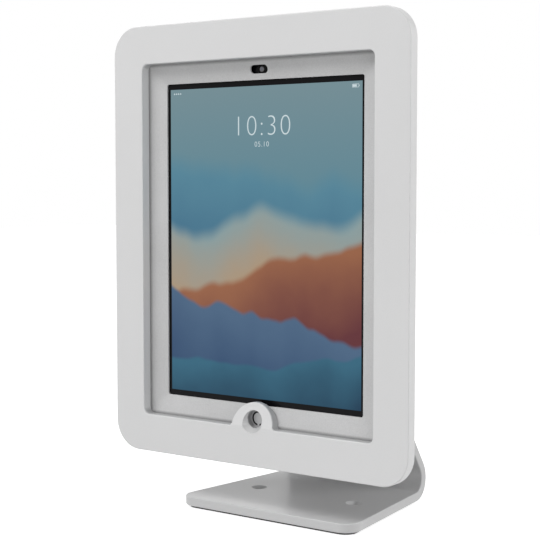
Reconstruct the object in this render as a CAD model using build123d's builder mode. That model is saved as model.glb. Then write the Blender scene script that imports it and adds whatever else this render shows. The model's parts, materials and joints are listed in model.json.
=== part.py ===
from build123d import *
import math
import os

os.makedirs("parts", exist_ok=True)

# A tablet in a lockable metal enclosure, carried by a tilting and turning head
# on one bent steel plate. Millimetres, +Z up, the screen faces -Y. The origin is
# on the table under the middle of the whole object.

# Tablet
tablet_width = 169.5
tablet_height = 240.0
picture_side_border = 10.95
picture_end_border = 21.6
tablet_thickness = 6.1
tablet_corner_radius = 11.0
tablet_back_rounding = 3.2
tablet_wall = 2.4
tablet_back_wall = 1.0
tablet_rim = 0.7
glass_thickness = 1.0
glass_proud = 0.2
glass_gap = 0.1
panel_border = 2.0
panel_thickness = 1.0
lens_radius = 1.9
lens_gap = 0.1
lens_flange_radius = 3.0
lens_flange_thickness = 0.6
lens_inset = 11.4
port_width = 9.0
port_height = 2.6
cell_side_margin = 21.75
cell_gap = 6.0
cell_top_margin = 57.0
cell_bottom_margin = 33.0
cell_thickness = 2.5
board_side_margin = 19.75
board_height = 22.0
board_thickness = 1.4
board_top_margin = 32.0

# Front frame
frame_side_bar = 24.2
frame_end_bar = 24.7
frame_depth = 8.0
frame_corner_radius = 19.0
frame_skin = 3.0
frame_rim = 3.0
frame_front_edge = 0.7
frame_rear_edge = 1.0
window_corner_radius = 4.0
window_rim = 5.0
window_wall_depth = 6.6

# Lock tab on the frame
tab_radius = 15.5
tab_inset = 2.1
tab_foot_radius = 2.5
tab_depth = 7.0
boss_gap = 1.0

# Inner mask
mask_sheet = 1.0
mask_gap = 0.5
opening_side_margin = 2.1
opening_end_margin = 3.6
opening_corner_radius = 1.5
mask_bevel_width = 12.9
mask_bevel_depth = 3.5
mask_notch_gap = 0.3
slot_length = 13.4
slot_height = 5.3
slot_lens_drop = 0.2
mask_screw_radius = 0.78
mask_screw_head_radius = 1.9
mask_screw_head = 1.2
mask_screw_bite = 4.0
mask_screw_clearance = 0.3
side_screw_inset = 39.9
end_screw_inset = 38.8

# Lock
lock_inset = 4.9
sleeve_head_radius = 8.8
sleeve_head_depth = 4.5
sleeve_radius = 7.5
sleeve_gap = 0.05
mouth_radius = 8.4
mouth_floor_radius = 5.4
mouth_depth = 4.0
plug_radius = 5.8
keyway_radius = 4.6
post_radius = 3.0
post_setback = 0.9
keyway_depth = 2.8
key_notch_width = 1.5
key_notch_length = 0.8
key_notch_start_angle = 235.0
key_notch_spread_angle = 70.0
lock_nut_radius = 10.0
lock_nut_flats = 17.0
cam_end_gap = 0.5
cam_width = 9.0
cam_thickness = 1.5
lock_stack_gap = 0.2
cam_square = 4.0
cam_square_gap = 0.1
cam_tail_length = 0.9
cam_screw_radius = 1.2
cam_screw_head_radius = 3.6
cam_screw_length = 2.4
lock_turn_gap = 0.05

# Rear housing
housing_side_step = 13.0
housing_end_step = 12.1
housing_corner_radius = 16.0
housing_wall = 2.5
housing_front = 3.5
housing_back_rounding = 4.0
glass_setback = 11.3
tablet_rear_space = 6.0

# Cover hinge
hinge_rise = 3.5
hinge_setback = 11.5
hinge_knuckle_radius = 3.0
hinge_pin_radius = 1.5
hinge_inset = 53.0
cover_lug_width = 12.0
housing_lug_width = 8.0
hinge_side_gap = 0.2
hinge_running_gap = 0.05
press_gap = 0.02

# Keeper for the lock's cam
keeper_width = 24.0
keeper_sheet = 1.2
keeper_length = 12.0
keeper_lip = 4.4
keeper_screw_spacing = 14.0
keeper_screw_radius = 1.25
keeper_screw_head_radius = 2.4
keeper_screw_head = 1.4
keeper_screw_back = 4.0
keeper_screw_left = 0.5
keeper_cam_gap = 0.2

# Tablet tray
tray_gap = 0.3
tray_rim_setback = 12.0
tray_floor = 4.0
tray_centre_hole_radius = 34.0
tray_notch_margin = 1.0
cable_channel_width = 14.0
finger_notch_radius = 13.0
finger_notch_depth = 5.0
tray_finger_wall = 3.0
tray_screw_side_inset = 24.75
tray_screw_end_inset = 45.0
tray_screw_radius = 1.4
tray_screw_head_radius = 2.8
tray_screw_left = 0.5
pad_block_width = 34.0
pad_block_height = 26.0
pad_block_radius = 3.0
pad_block_gap = 0.3
pad_block_side_inset = 29.75
pad_block_end_inset = 22.0
bumper_radius = 2.2
bumper_gap = 0.3
bumper_end_inset = 14.9

# Swivel
disc_radius = 32.0
disc_thickness = 4.0
disc_edge = 0.8
disc_screw_circle_radius = 26.5
disc_screw_radius = 2.0
disc_screw_head_radius = 3.9
disc_screw_left = 0.5
swivel_running_gap = 0.05
glide_thickness = 1.0
glide_inner_radius = 20.0
glide_outer_radius = 25.0
head_radius = 26.0
head_thickness = 4.0
sleeve_tube_radius = 10.9
sleeve_bore_radius = 8.5
sleeve_flange_radius = 14.5
sleeve_flange = 2.4
pivot_clearance = 1.0
pivot_nut_flats = 26.0
pivot_nut_height = 2.8
ring_thickness = 1.5
ring_radius = 16.5
stop_circle_radius = 16.0
stop_pin_radius = 1.5
stop_groove_gap = 0.3
stop_pin_depth = 2.0
stop_groove_depth = 2.5
swivel_stop_angle = 90.0

# Tilt
tilt_setback = 40.0
tilt_drop = 26.0
tilt_arm_gap = 12.3
cheek_spacing = 32.0
cheek_thickness = 4.0
cheek_radius = 7.5
cheek_root_up = 12.0
cheek_root_down = 4.5
head_tail_drop = 8.5
head_tail_radius = 4.0
ear_thickness = 4.0
ear_radius = 8.0
friction_washer = 0.5
friction_washer_radius = 7.2
bushing_radius = 5.0
bolt_radius = 4.0
bolt_gap = 0.05
bolt_head_radius = 6.5
bolt_head_height = 4.6
bolt_socket_flats = 5.0
bolt_socket_depth = 2.8
bolt_head_edge = 1.6
bolt_end = 1.5
nut_flats = 13.0
nut_height = 6.0
nut_edge = 0.6
spring_washer = 0.9
spring_washer_radius = 7.5
spring_washer_cone = 0.35

# Bracket on the arm
bracket_sheet = 3.5
bracket_length = 31.0
bracket_top_gap = 3.0
bracket_corner_radius = 3.0
bracket_screw_spacing_x = 26.0
bracket_screw_spacing_s = 17.0
bracket_screw_radius = 2.5
bracket_screw_head_radius = 4.6
bracket_screw_left = 1.0

# Bent stand plate
frame_clearance = 29.3
base_setback = 10.1
base_width = 137.4
base_corner_radius = 11.0
plate_thickness = 6.0
plate_edge = 0.8
bend_inner_radius = 10.0
bend_angle = 116.7
side_taper_share = 0.118
arm_over_axis = 2.7
arm_corner_radius = 21.0
anchor_spacing = 76.0
anchor_setback = 50.0
anchor_radius = 2.75
anchor_sink_radius = 5.4
sink_angle = 90.0
pad_thickness = 1.5
pad_inset = 3.0
pad_hole_margin = 1.2

# Cable grommet in the arm
grommet_rise = 46.0
grommet_hole_radius = 12.0
grommet_bore_radius = 9.0
grommet_flange_radius = 15.0
grommet_flange = 1.6
grommet_edge = 0.7
grommet_gap = 0.05

# Sockets and slots for the drivers in the screws
socket_width_share = 0.5
socket_depth_share = 0.8
cam_screw_slot_width = 0.9
cam_screw_slot_depth = 0.3

# All cuts run this far past the faces that they open
overrun = 1.0

# Threaded holes are this much deeper than their screws
screw_tip_gap = 0.2

# Sizes seen from the front, all taken from the tablet outwards
picture_width = tablet_width - 2 * picture_side_border
picture_height = tablet_height - 2 * picture_end_border
opening_width = picture_width + 2 * opening_side_margin
opening_height = picture_height + 2 * opening_end_margin
window_width = opening_width + 2 * mask_bevel_width
window_height = opening_height + 2 * mask_bevel_width
frame_width = window_width + 2 * frame_side_bar
frame_height = window_height + 2 * frame_end_bar
housing_width = frame_width - 2 * housing_side_step
housing_height = frame_height - 2 * housing_end_step
lens_height = tablet_height / 2 - lens_inset
slot_rise = lens_height - slot_lens_drop
tab_drop = window_height / 2 - tab_inset
lock_drop = window_height / 2 - lock_inset
cam_reach = housing_height / 2 - housing_wall - keeper_sheet - cam_end_gap - lock_drop
head_height = frame_height / 2 + frame_clearance
bend_radians = math.radians(bend_angle)
tilt_over_bend = head_height - tilt_drop - bend_inner_radius
tilt_to_bend = tilt_arm_gap - bend_inner_radius - tilt_over_bend * math.cos(bend_radians)
base_length = tilt_setback - base_setback + tilt_to_bend / math.sin(bend_radians)
cell_width = (tablet_width - 2 * cell_side_margin - cell_gap) / 2
cell_height = tablet_height - cell_top_margin - cell_bottom_margin
cell_drop = (cell_top_margin - cell_bottom_margin) / 2
board_width = tablet_width - 2 * board_side_margin
board_rise = tablet_height / 2 - board_top_margin
side_screw_spacing = window_height / 2 - side_screw_inset
end_screw_spacing = window_width - 2 * end_screw_inset
hinge_spacing = frame_width - 2 * hinge_inset
tray_screw_spacing_x = tablet_width - 2 * tray_screw_side_inset
tray_screw_spacing_z = tablet_height - 2 * tray_screw_end_inset
pad_block_spacing_x = tablet_width - 2 * pad_block_side_inset
pad_block_spacing_z = tablet_height - 2 * pad_block_end_inset
bumper_spacing_z = window_height - 2 * bumper_end_inset

# Depths behind the enclosure's front face
flange_front = window_wall_depth
flange_rear = flange_front + mask_sheet
bevel_floor = flange_front + mask_bevel_depth
mask_rear = bevel_floor + mask_sheet
shell_front = glass_setback + glass_proud
glass_rear = glass_setback + glass_thickness
tablet_rear = glass_setback + tablet_thickness
tablet_floor = tablet_rear - tablet_back_wall
housing_floor = tablet_rear + tablet_rear_space
housing_rear = housing_floor + housing_wall
disc_rear = housing_rear + disc_thickness
head_front = disc_rear + glide_thickness
head_rear = head_front + head_thickness
tray_pocket_floor = housing_floor - tray_floor
cam_front = mask_rear - lock_stack_gap - cam_thickness
keeper_front = cam_front - keeper_cam_gap - keeper_sheet
overall_depth = base_setback + base_length + bend_inner_radius + plate_thickness

# Places in the shared frame
front_y = -overall_depth / 2
base_top_z = pad_thickness + plate_thickness
head_z = base_top_z + head_height
base_front_y = front_y + base_setback
bend_start_y = base_front_y + base_length
hinge_v = housing_height / 2 + hinge_rise
tilt_y = front_y + tilt_setback
tilt_z = head_z - tilt_drop
keeper_front_y = front_y + keeper_front
keeper_floor_z = head_z - housing_height / 2 + housing_wall
keeper_screw_setback = keeper_length - keeper_screw_back
keeper_floor = Plane(
    origin=(0, keeper_front_y, keeper_floor_z), x_dir=(1, 0, 0), z_dir=(0, 0, 1)
)
port_face = Plane(
    origin=(0, front_y + (glass_rear + tablet_floor) / 2, head_z - tablet_height / 2),
    x_dir=(1, 0, 0),
    z_dir=(0, 0, 1),
)


def head_face(depth):
    """Plane parallel to the enclosure's front, this far behind it, seen from the front."""
    return Plane(origin=(0, front_y + depth, head_z), x_dir=(1, 0, 0), z_dir=(0, -1, 0))


def side_face(x):
    """Upright plane square to X, with +Y to its right and +Z up."""
    return Plane(origin=(x, 0, 0), x_dir=(0, 1, 0), z_dir=(1, 0, 0))


# Stand plate: a flat base, a bend and an arm that leans forward. Its two sides
# taper at one steady rate along the flat blank that the plate is bent from.
arm_up = Vector(0, math.cos(bend_radians), math.sin(bend_radians))
arm_out = Vector(0, -math.sin(bend_radians), math.cos(bend_radians))
bend_middle_radius = bend_inner_radius + plate_thickness / 2
bend_centre = Vector(0, bend_start_y, base_top_z + bend_inner_radius)
arm_foot = bend_centre - arm_out * bend_inner_radius
tilt_axis = Vector(0, tilt_y, tilt_z)
tilt_rise = (tilt_axis - arm_foot).dot(arm_up)
arm_length = tilt_rise + arm_over_axis

base_half_front = base_width / 2
base_half_rear = base_half_front - side_taper_share * base_length
arm_half_foot = base_half_rear - side_taper_share * bend_middle_radius * bend_radians
arm_half_top = arm_half_foot - side_taper_share * arm_length

arm_face = Plane(origin=arm_foot, x_dir=(1, 0, 0), z_dir=arm_out)
bend_start_face = Plane(
    origin=(0, bend_start_y, base_top_z - plate_thickness / 2), x_dir=(1, 0, 0), z_dir=(0, 1, 0)
)
bend_end_face = Plane(
    origin=arm_foot - arm_out * (plate_thickness / 2), x_dir=(1, 0, 0), z_dir=arm_up
)
bracket_middle = tilt_rise - bracket_top_gap - bracket_length / 2

with BuildPart() as stand_plate:
    with BuildSketch(Plane.XY.offset(pad_thickness)) as base_outline:
        with BuildLine():
            Polyline(
                (-base_half_front, base_front_y),
                (base_half_front, base_front_y),
                (base_half_rear, bend_start_y),
                (-base_half_rear, bend_start_y),
                close=True,
            )
        make_face()
        fillet(base_outline.vertices().group_by(Axis.Y)[0], radius=base_corner_radius)
    extrude(amount=plate_thickness)
    with BuildLine(side_face(0)):
        CenterArc(
            (bend_start_y, base_top_z + bend_inner_radius),
            bend_middle_radius,
            start_angle=-90,
            arc_size=bend_angle,
        )
    with BuildSketch(bend_start_face):
        Rectangle(2 * base_half_rear, plate_thickness)
    with BuildSketch(bend_end_face):
        Rectangle(2 * arm_half_foot, plate_thickness)
    sweep(multisection=True)
    with BuildSketch(arm_face) as arm_outline:
        with BuildLine():
            Polyline(
                (-arm_half_foot, 0),
                (arm_half_foot, 0),
                (arm_half_top, arm_length),
                (-arm_half_top, arm_length),
                close=True,
            )
        make_face()
        fillet(arm_outline.vertices().group_by(Axis.Y)[-1], radius=arm_corner_radius)
    extrude(amount=-plate_thickness)
    middle_edges = stand_plate.edges().filter_by_position(Axis.X, -overrun, overrun)
    bend_seams = middle_edges.filter_by_position(Axis.Y, bend_start_y - overrun, overall_depth)
    long_edges = stand_plate.edges().filter_by(lambda edge: edge.length > plate_thickness + overrun)
    fillet(long_edges - bend_seams, radius=plate_edge)
    with BuildSketch(arm_face.offset(overrun)):
        with Locations((0, grommet_rise)):
            Circle(grommet_hole_radius)
    extrude(amount=-plate_thickness - 2 * overrun, mode=Mode.SUBTRACT)
    with Locations(Plane.XY.offset(base_top_z)):
        with Locations((0, base_front_y + anchor_setback)):
            with GridLocations(anchor_spacing, 0, 2, 1):
                CounterSinkHole(
                    anchor_radius,
                    anchor_sink_radius,
                    depth=plate_thickness + overrun,
                    counter_sink_angle=sink_angle,
                )
    with BuildSketch(arm_face):
        with Locations((0, bracket_middle)):
            with GridLocations(bracket_screw_spacing_x, bracket_screw_spacing_s, 2, 2):
                Circle(bracket_screw_radius)
    extrude(amount=-(plate_thickness - bracket_screw_left), mode=Mode.SUBTRACT)
stand_plate.part.label = "stand_plate"
export_step(stand_plate.part, "parts/stand_plate.step")

# Rubber pad under the base, held inside its outline.
with BuildPart() as base_pad:
    with BuildSketch() as pad_outline:
        add(base_outline.sketch.moved(Location((0, 0, -pad_thickness))))
        offset(amount=-pad_inset, mode=Mode.REPLACE)
    extrude(amount=pad_thickness)
    with Locations((0, base_front_y + anchor_setback, pad_thickness)):
        with GridLocations(anchor_spacing, 0, 2, 1):
            Hole(anchor_radius + pad_hole_margin)
base_pad.part.label = "base_pad"
export_step(base_pad.part, "parts/base_pad.step")

# Rubber grommet that snaps into the arm's hole, turned about the hole's axis.
grommet_centre = arm_foot + arm_up * grommet_rise
grommet_section = Plane(origin=grommet_centre, x_dir=(1, 0, 0), z_dir=arm_up)
grommet_back = plate_thickness + grommet_flange
with BuildPart() as cable_grommet:
    with BuildSketch(grommet_section) as grommet_profile:
        with BuildLine():
            Polyline(
                (grommet_bore_radius, -grommet_flange),
                (grommet_flange_radius, -grommet_flange),
                (grommet_flange_radius, 0),
                (grommet_hole_radius - grommet_gap, 0),
                (grommet_hole_radius - grommet_gap, plate_thickness),
                (grommet_flange_radius, plate_thickness),
                (grommet_flange_radius, grommet_back),
                (grommet_bore_radius, grommet_back),
                close=True,
            )
        make_face()
        fillet(grommet_profile.vertices().group_by(Axis.Y)[0], radius=grommet_edge)
        fillet(grommet_profile.vertices().group_by(Axis.Y)[-1], radius=grommet_edge)
    revolve(axis=Axis(grommet_centre, arm_out))
cable_grommet.part.label = "cable_grommet"
export_step(cable_grommet.part, "parts/cable_grommet.step")

# Bracket on the arm's inner face: a foot plate and two ears that hold the tilt
# bolt. The section plane's local X runs up the arm and its local Y away from it.
cheek_outside = cheek_spacing / 2 + cheek_thickness
ear_inside = cheek_outside + friction_washer
ear_outside = ear_inside + ear_thickness


def arm_section(x):
    """Plane square to X whose local X runs up the arm's face and local Y away from it."""
    return Plane(origin=(x, arm_foot.Y, arm_foot.Z), x_dir=arm_up, z_dir=(1, 0, 0))


with BuildPart() as arm_bracket:
    with BuildSketch(arm_face):
        with Locations((0, bracket_middle)):
            RectangleRounded(2 * ear_outside, bracket_length, bracket_corner_radius)
    extrude(amount=bracket_sheet)
    for x in (-ear_outside, ear_inside):
        with BuildSketch(arm_section(x)):
            with Locations((tilt_rise, tilt_arm_gap)):
                Circle(ear_radius)
            with Locations((bracket_middle, bracket_sheet / 2)):
                Rectangle(bracket_length - 2 * bracket_corner_radius, bracket_sheet)
            make_hull()
        extrude(amount=ear_thickness)
    with BuildSketch(arm_section(-ear_outside - overrun)):
        with Locations((tilt_rise, tilt_arm_gap)):
            Circle(bolt_radius + bolt_gap)
    extrude(amount=2 * (ear_outside + overrun), mode=Mode.SUBTRACT)
    with Locations(arm_face.offset(bracket_sheet)):
        with Locations((0, bracket_middle)):
            with GridLocations(bracket_screw_spacing_x, bracket_screw_spacing_s, 2, 2):
                CounterSinkHole(
                    bracket_screw_radius,
                    bracket_screw_head_radius,
                    depth=bracket_sheet + overrun,
                    counter_sink_angle=sink_angle,
                )
arm_bracket.part.label = "arm_bracket"
export_step(arm_bracket.part, "parts/arm_bracket.step")


def sunk_screw(radius, head_radius, length):
    """Countersunk screw whose flat head lies at height zero and whose shank points down."""
    head_depth = head_radius - radius
    with BuildPart() as screw:
        Cylinder(radius, length, align=(Align.CENTER, Align.CENTER, Align.MAX))
        with Locations((0, 0, 0)):
            Cone(
                radius,
                head_radius,
                head_depth,
                align=(Align.CENTER, Align.CENTER, Align.MAX),
            )
        with BuildSketch():
            RegularPolygon(head_radius * socket_width_share, 6)
        extrude(amount=-head_depth * socket_depth_share, mode=Mode.SUBTRACT)
    return screw.part


def pan_screw(radius, head_radius, head_height, length):
    """Screw with a domed head that stands on height zero and a shank that points down."""
    with BuildPart() as screw:
        Cylinder(radius, length, align=(Align.CENTER, Align.CENTER, Align.MAX))
        with BuildSketch():
            Circle(head_radius)
        extrude(amount=head_height)
        fillet(screw.edges().sort_by(Axis.Z)[-1], radius=head_height / 2)
        with BuildSketch(Plane.XY.offset(head_height)):
            RegularPolygon(head_radius * socket_width_share, 6)
        extrude(amount=-head_height * socket_depth_share, mode=Mode.SUBTRACT)
    return screw.part


bracket_screw_length = bracket_sheet + plate_thickness - bracket_screw_left
with BuildPart() as bracket_screws:
    with Locations(arm_face.offset(bracket_sheet)):
        with Locations((0, bracket_middle)):
            with GridLocations(bracket_screw_spacing_x, bracket_screw_spacing_s, 2, 2):
                add(sunk_screw(bracket_screw_radius, bracket_screw_head_radius, bracket_screw_length))
bracket_screws.part.label = "bracket_screws"
export_step(bracket_screws.part, "parts/bracket_screws.step")

# Tilt bolt with a round socket head on the right ear. Its tip stands past the nut.
tilt_nut_inside = ear_outside + 2 * spring_washer + 2 * spring_washer_cone
tilt_bolt_tip = -(tilt_nut_inside + nut_height + bolt_end)


def tilt_section(x):
    """Plane square to the tilt axis, centred on it, with its local Y pointing up."""
    return Plane(origin=(x, tilt_y, tilt_z), x_dir=(0, 1, 0), z_dir=(1, 0, 0))


with BuildPart() as tilt_bolt:
    with BuildSketch(tilt_section(tilt_bolt_tip)):
        Circle(bolt_radius)
    extrude(amount=ear_outside - tilt_bolt_tip)
    chamfer(tilt_bolt.edges().group_by(Axis.X)[0], length=bolt_radius / 8)
    with BuildSketch(tilt_section(ear_outside)):
        Circle(bolt_head_radius)
    extrude(amount=bolt_head_height)
    fillet(tilt_bolt.edges().group_by(Axis.X)[-1], radius=bolt_head_edge)
    with BuildSketch(tilt_section(ear_outside + bolt_head_height)):
        RegularPolygon(bolt_socket_flats / 2, 6, major_radius=False)
    extrude(amount=-bolt_socket_depth, mode=Mode.SUBTRACT)
tilt_bolt.part.label = "tilt_bolt"
export_step(tilt_bolt.part, "parts/tilt_bolt.step")

# Hexagon nut, chamfered at its outer end.
with BuildPart() as tilt_nut:
    with BuildSketch(tilt_section(-tilt_nut_inside)):
        RegularPolygon(nut_flats / 2, 6, major_radius=False)
        Circle(bolt_radius + bolt_gap, mode=Mode.SUBTRACT)
    extrude(amount=-nut_height)
    chamfer(tilt_nut.faces().sort_by(Axis.X)[0].outer_wire().edges(), length=nut_edge)
tilt_nut.part.label = "tilt_nut"
export_step(tilt_nut.part, "parts/tilt_nut.step")

# Two cone spring washers face to face under the nut keep the friction steady.
spring_stack_middle = ear_outside + spring_washer + spring_washer_cone
spring_section = Plane(origin=(0, tilt_y, tilt_z), x_dir=(0, 0, 1), z_dir=(0, 1, 0))
spring_inner_radius = bolt_radius + bolt_gap
with BuildPart() as tilt_spring_washers:
    for side in (-1, 1):
        rim = -spring_stack_middle
        face = rim + side * (spring_washer + spring_washer_cone)
        with BuildSketch(spring_section):
            with BuildLine():
                Polyline(
                    (spring_washer_radius, rim),
                    (spring_washer_radius, rim + side * spring_washer),
                    (spring_inner_radius, face),
                    (spring_inner_radius, face - side * spring_washer),
                    close=True,
                )
            make_face()
        revolve(axis=Axis(tilt_axis, (1, 0, 0)))
tilt_spring_washers.part.label = "tilt_spring_washers"
export_step(tilt_spring_washers.part, "parts/tilt_spring_washers.step")

# Flat friction washers between the head's cheeks and the bracket's ears.
with BuildPart() as tilt_friction_washers:
    for x in (-ear_inside, cheek_outside):
        with BuildSketch(tilt_section(x)):
            Circle(friction_washer_radius)
            Circle(bolt_radius + bolt_gap, mode=Mode.SUBTRACT)
        extrude(amount=friction_washer)
tilt_friction_washers.part.label = "tilt_friction_washers"
export_step(tilt_friction_washers.part, "parts/tilt_friction_washers.step")

# Spacer tube on the bolt between the two cheeks.
with BuildPart() as tilt_bushing:
    with BuildSketch(tilt_section(-cheek_spacing / 2)):
        Circle(bushing_radius)
        Circle(bolt_radius + bolt_gap, mode=Mode.SUBTRACT)
    extrude(amount=cheek_spacing)
tilt_bushing.part.label = "tilt_bushing"
export_step(tilt_bushing.part, "parts/tilt_bushing.step")

# Head plate: a round plate behind the swivel with two cheeks that reach back to
# the tilt bolt.
with BuildPart() as head_plate:
    with BuildSketch(head_face(head_rear)):
        Circle(head_radius)
        with Locations((0, -(tilt_drop + head_tail_drop) / 2)):
            Rectangle(2 * cheek_outside, tilt_drop + head_tail_drop)
    extrude(amount=head_thickness)
    tail_edges = head_plate.edges().filter_by(Axis.Y).group_by(Axis.Z)[0]
    fillet(tail_edges, radius=head_tail_radius)
    for x in (-cheek_outside, cheek_spacing / 2):
        with BuildSketch(tilt_section(x)):
            Circle(cheek_radius)
            with BuildLine():
                Polyline(
                    (head_rear - tilt_setback, -cheek_root_down),
                    (head_rear - tilt_setback, cheek_root_up),
                    (0, 0),
                    close=True,
                )
            make_face()
            make_hull()
        extrude(amount=cheek_thickness)
    with BuildSketch(tilt_section(-cheek_outside - overrun)):
        Circle(bolt_radius + bolt_gap)
    extrude(amount=2 * (cheek_outside + overrun), mode=Mode.SUBTRACT)
    with BuildSketch(head_face(head_rear)):
        Circle(sleeve_tube_radius + press_gap)
        with Locations((0, stop_circle_radius)):
            Circle(stop_pin_radius)
    extrude(amount=head_thickness, mode=Mode.SUBTRACT)
head_plate.part.label = "head_plate"
export_step(head_plate.part, "parts/head_plate.step")

# Hollow pivot that the charging cable runs through, turned about the swivel axis.
sleeve_front = tablet_rear + pivot_clearance
sleeve_axis = Axis((0, 0, head_z), (0, 1, 0))
pivot_section = Plane(origin=(0, front_y, head_z), x_dir=(1, 0, 0), z_dir=(0, 0, 1))
with BuildPart() as pivot_sleeve:
    with BuildSketch(pivot_section) as sleeve_profile:
        with BuildLine():
            Polyline(
                (sleeve_bore_radius, sleeve_front),
                (sleeve_tube_radius, sleeve_front),
                (sleeve_tube_radius, head_rear),
                (sleeve_flange_radius, head_rear),
                (sleeve_flange_radius, head_rear + sleeve_flange),
                (sleeve_bore_radius, head_rear + sleeve_flange),
                close=True,
            )
        make_face()
        fillet(sleeve_profile.vertices().group_by(Axis.Y)[-1], radius=sleeve_flange / 3)
    revolve(axis=sleeve_axis)
pivot_sleeve.part.label = "pivot_sleeve"
export_step(pivot_sleeve.part, "parts/pivot_sleeve.step")

# Thin nut inside the housing that holds the swivel together.
with BuildPart() as pivot_nut:
    with BuildSketch(head_face(housing_floor - ring_thickness)):
        RegularPolygon(pivot_nut_flats / 2, 6, major_radius=False)
        Circle(sleeve_tube_radius + swivel_running_gap, mode=Mode.SUBTRACT)
    extrude(amount=pivot_nut_height)
    chamfer(pivot_nut.faces().sort_by(Axis.Y)[0].outer_wire().edges(), length=pivot_nut_height / 5)
pivot_nut.part.label = "pivot_nut"
export_step(pivot_nut.part, "parts/pivot_nut.step")

# Friction ring that the nut presses on the housing's floor.
with BuildPart() as friction_ring:
    with BuildSketch(head_face(housing_floor)):
        Circle(ring_radius)
        Circle(sleeve_tube_radius + swivel_running_gap, mode=Mode.SUBTRACT)
    extrude(amount=ring_thickness)
friction_ring.part.label = "friction_ring"
export_step(friction_ring.part, "parts/friction_ring.step")

# Plastic glide ring between the swivel disc and the head plate.
with BuildPart() as glide_ring:
    with BuildSketch(head_face(head_front)):
        Circle(glide_outer_radius)
        Circle(glide_inner_radius, mode=Mode.SUBTRACT)
    extrude(amount=glide_thickness)
glide_ring.part.label = "glide_ring"
export_step(glide_ring.part, "parts/glide_ring.step")

# Stop pin of the head plate, which runs in the disc's half-round groove.
with BuildPart() as stop_pin:
    with BuildSketch(head_face(head_rear)):
        with Locations((0, stop_circle_radius)):
            Circle(stop_pin_radius)
    extrude(amount=head_thickness + glide_thickness + stop_pin_depth)
stop_pin.part.label = "stop_pin"
export_step(stop_pin.part, "parts/stop_pin.step")

# Swivel disc, screwed to the housing's back from inside.
disc_screw_places = PolarLocations(disc_screw_circle_radius, 4, start_angle=45).locations
with BuildLine() as stop_groove:
    CenterArc((0, 0), stop_circle_radius, 90 - swivel_stop_angle, 2 * swivel_stop_angle)
with BuildPart() as swivel_disc:
    with BuildSketch(head_face(disc_rear)):
        Circle(disc_radius)
        Circle(sleeve_tube_radius + swivel_running_gap, mode=Mode.SUBTRACT)
    extrude(amount=disc_thickness)
    rear_rim = swivel_disc.faces().sort_by(Axis.Y)[-1].outer_wire().edges()
    chamfer(rear_rim, length=disc_edge)
    with BuildSketch(head_face(disc_rear)):
        SlotArc(stop_groove.edges()[0], 2 * (stop_pin_radius + stop_groove_gap))
    extrude(amount=stop_groove_depth, mode=Mode.SUBTRACT)
    with BuildSketch(head_face(housing_rear)):
        with Locations(disc_screw_places):
            Circle(disc_screw_radius)
    extrude(amount=-(disc_thickness - disc_screw_left), mode=Mode.SUBTRACT)
swivel_disc.part.label = "swivel_disc"
export_step(swivel_disc.part, "parts/swivel_disc.step")

disc_screw_length = housing_wall + disc_thickness - disc_screw_left - screw_tip_gap
with BuildPart() as disc_screws:
    with Locations(head_face(housing_floor)):
        with Locations(disc_screw_places):
            add(sunk_screw(disc_screw_radius, disc_screw_head_radius, disc_screw_length))
disc_screws.part.label = "disc_screws"
export_step(disc_screws.part, "parts/disc_screws.step")

# Rear housing: a deep rounded tray whose rim stands inside the frame's channel.
hinge_axis_y = front_y + hinge_setback
hinge_axis_z = head_z + hinge_v
hinge_centres = (-hinge_spacing / 2, hinge_spacing / 2)
lug_inside = cover_lug_width / 2 + hinge_side_gap
lug_outside = lug_inside + housing_lug_width


def hinge_section(x):
    """Plane square to X, centred on the cover's hinge axis, with its local Y pointing up."""
    return Plane(origin=(x, hinge_axis_y, hinge_axis_z), x_dir=(0, 1, 0), z_dir=(1, 0, 0))


with BuildPart() as rear_housing:
    with BuildSketch(head_face(housing_rear)):
        RectangleRounded(housing_width, housing_height, housing_corner_radius)
    extrude(amount=housing_rear - housing_front)
    back_rim = rear_housing.faces().sort_by(Axis.Y)[-1].outer_wire().edges()
    fillet(back_rim, radius=housing_back_rounding)
    with BuildSketch(head_face(housing_floor)):
        RectangleRounded(
            housing_width - 2 * housing_wall,
            housing_height - 2 * housing_wall,
            housing_corner_radius - housing_wall,
        )
    extrude(amount=housing_floor - housing_front + overrun, mode=Mode.SUBTRACT)
    for centre in hinge_centres:
        for x in (centre - lug_outside, centre + lug_inside):
            with BuildSketch(hinge_section(x)):
                Circle(hinge_knuckle_radius)
                with Locations((0, -(hinge_rise + housing_wall / 2) / 2)):
                    Rectangle(2 * hinge_knuckle_radius, hinge_rise + housing_wall / 2)
            extrude(amount=housing_lug_width)
    with BuildSketch(hinge_section(-hinge_spacing)):
        Circle(hinge_pin_radius + press_gap)
    extrude(amount=2 * hinge_spacing, mode=Mode.SUBTRACT)
    with BuildSketch(head_face(housing_rear)):
        Circle(sleeve_tube_radius + pivot_clearance)
    extrude(amount=housing_wall, mode=Mode.SUBTRACT)
    with Locations(head_face(housing_floor)):
        with Locations(disc_screw_places):
            CounterSinkHole(
                disc_screw_radius,
                disc_screw_head_radius,
                depth=housing_wall,
                counter_sink_angle=sink_angle,
            )
    with Locations(head_face(housing_floor)):
        with GridLocations(tray_screw_spacing_x, tray_screw_spacing_z, 2, 2):
            Hole(tray_screw_radius, depth=housing_wall - tray_screw_left)
    with BuildSketch(keeper_floor):
        with Locations((0, keeper_screw_setback)):
            with GridLocations(keeper_screw_spacing, 0, 2, 1):
                Circle(keeper_screw_radius)
    extrude(amount=-(housing_wall - keeper_screw_left), mode=Mode.SUBTRACT)
rear_housing.part.label = "rear_housing"
export_step(rear_housing.part, "parts/rear_housing.step")

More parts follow.
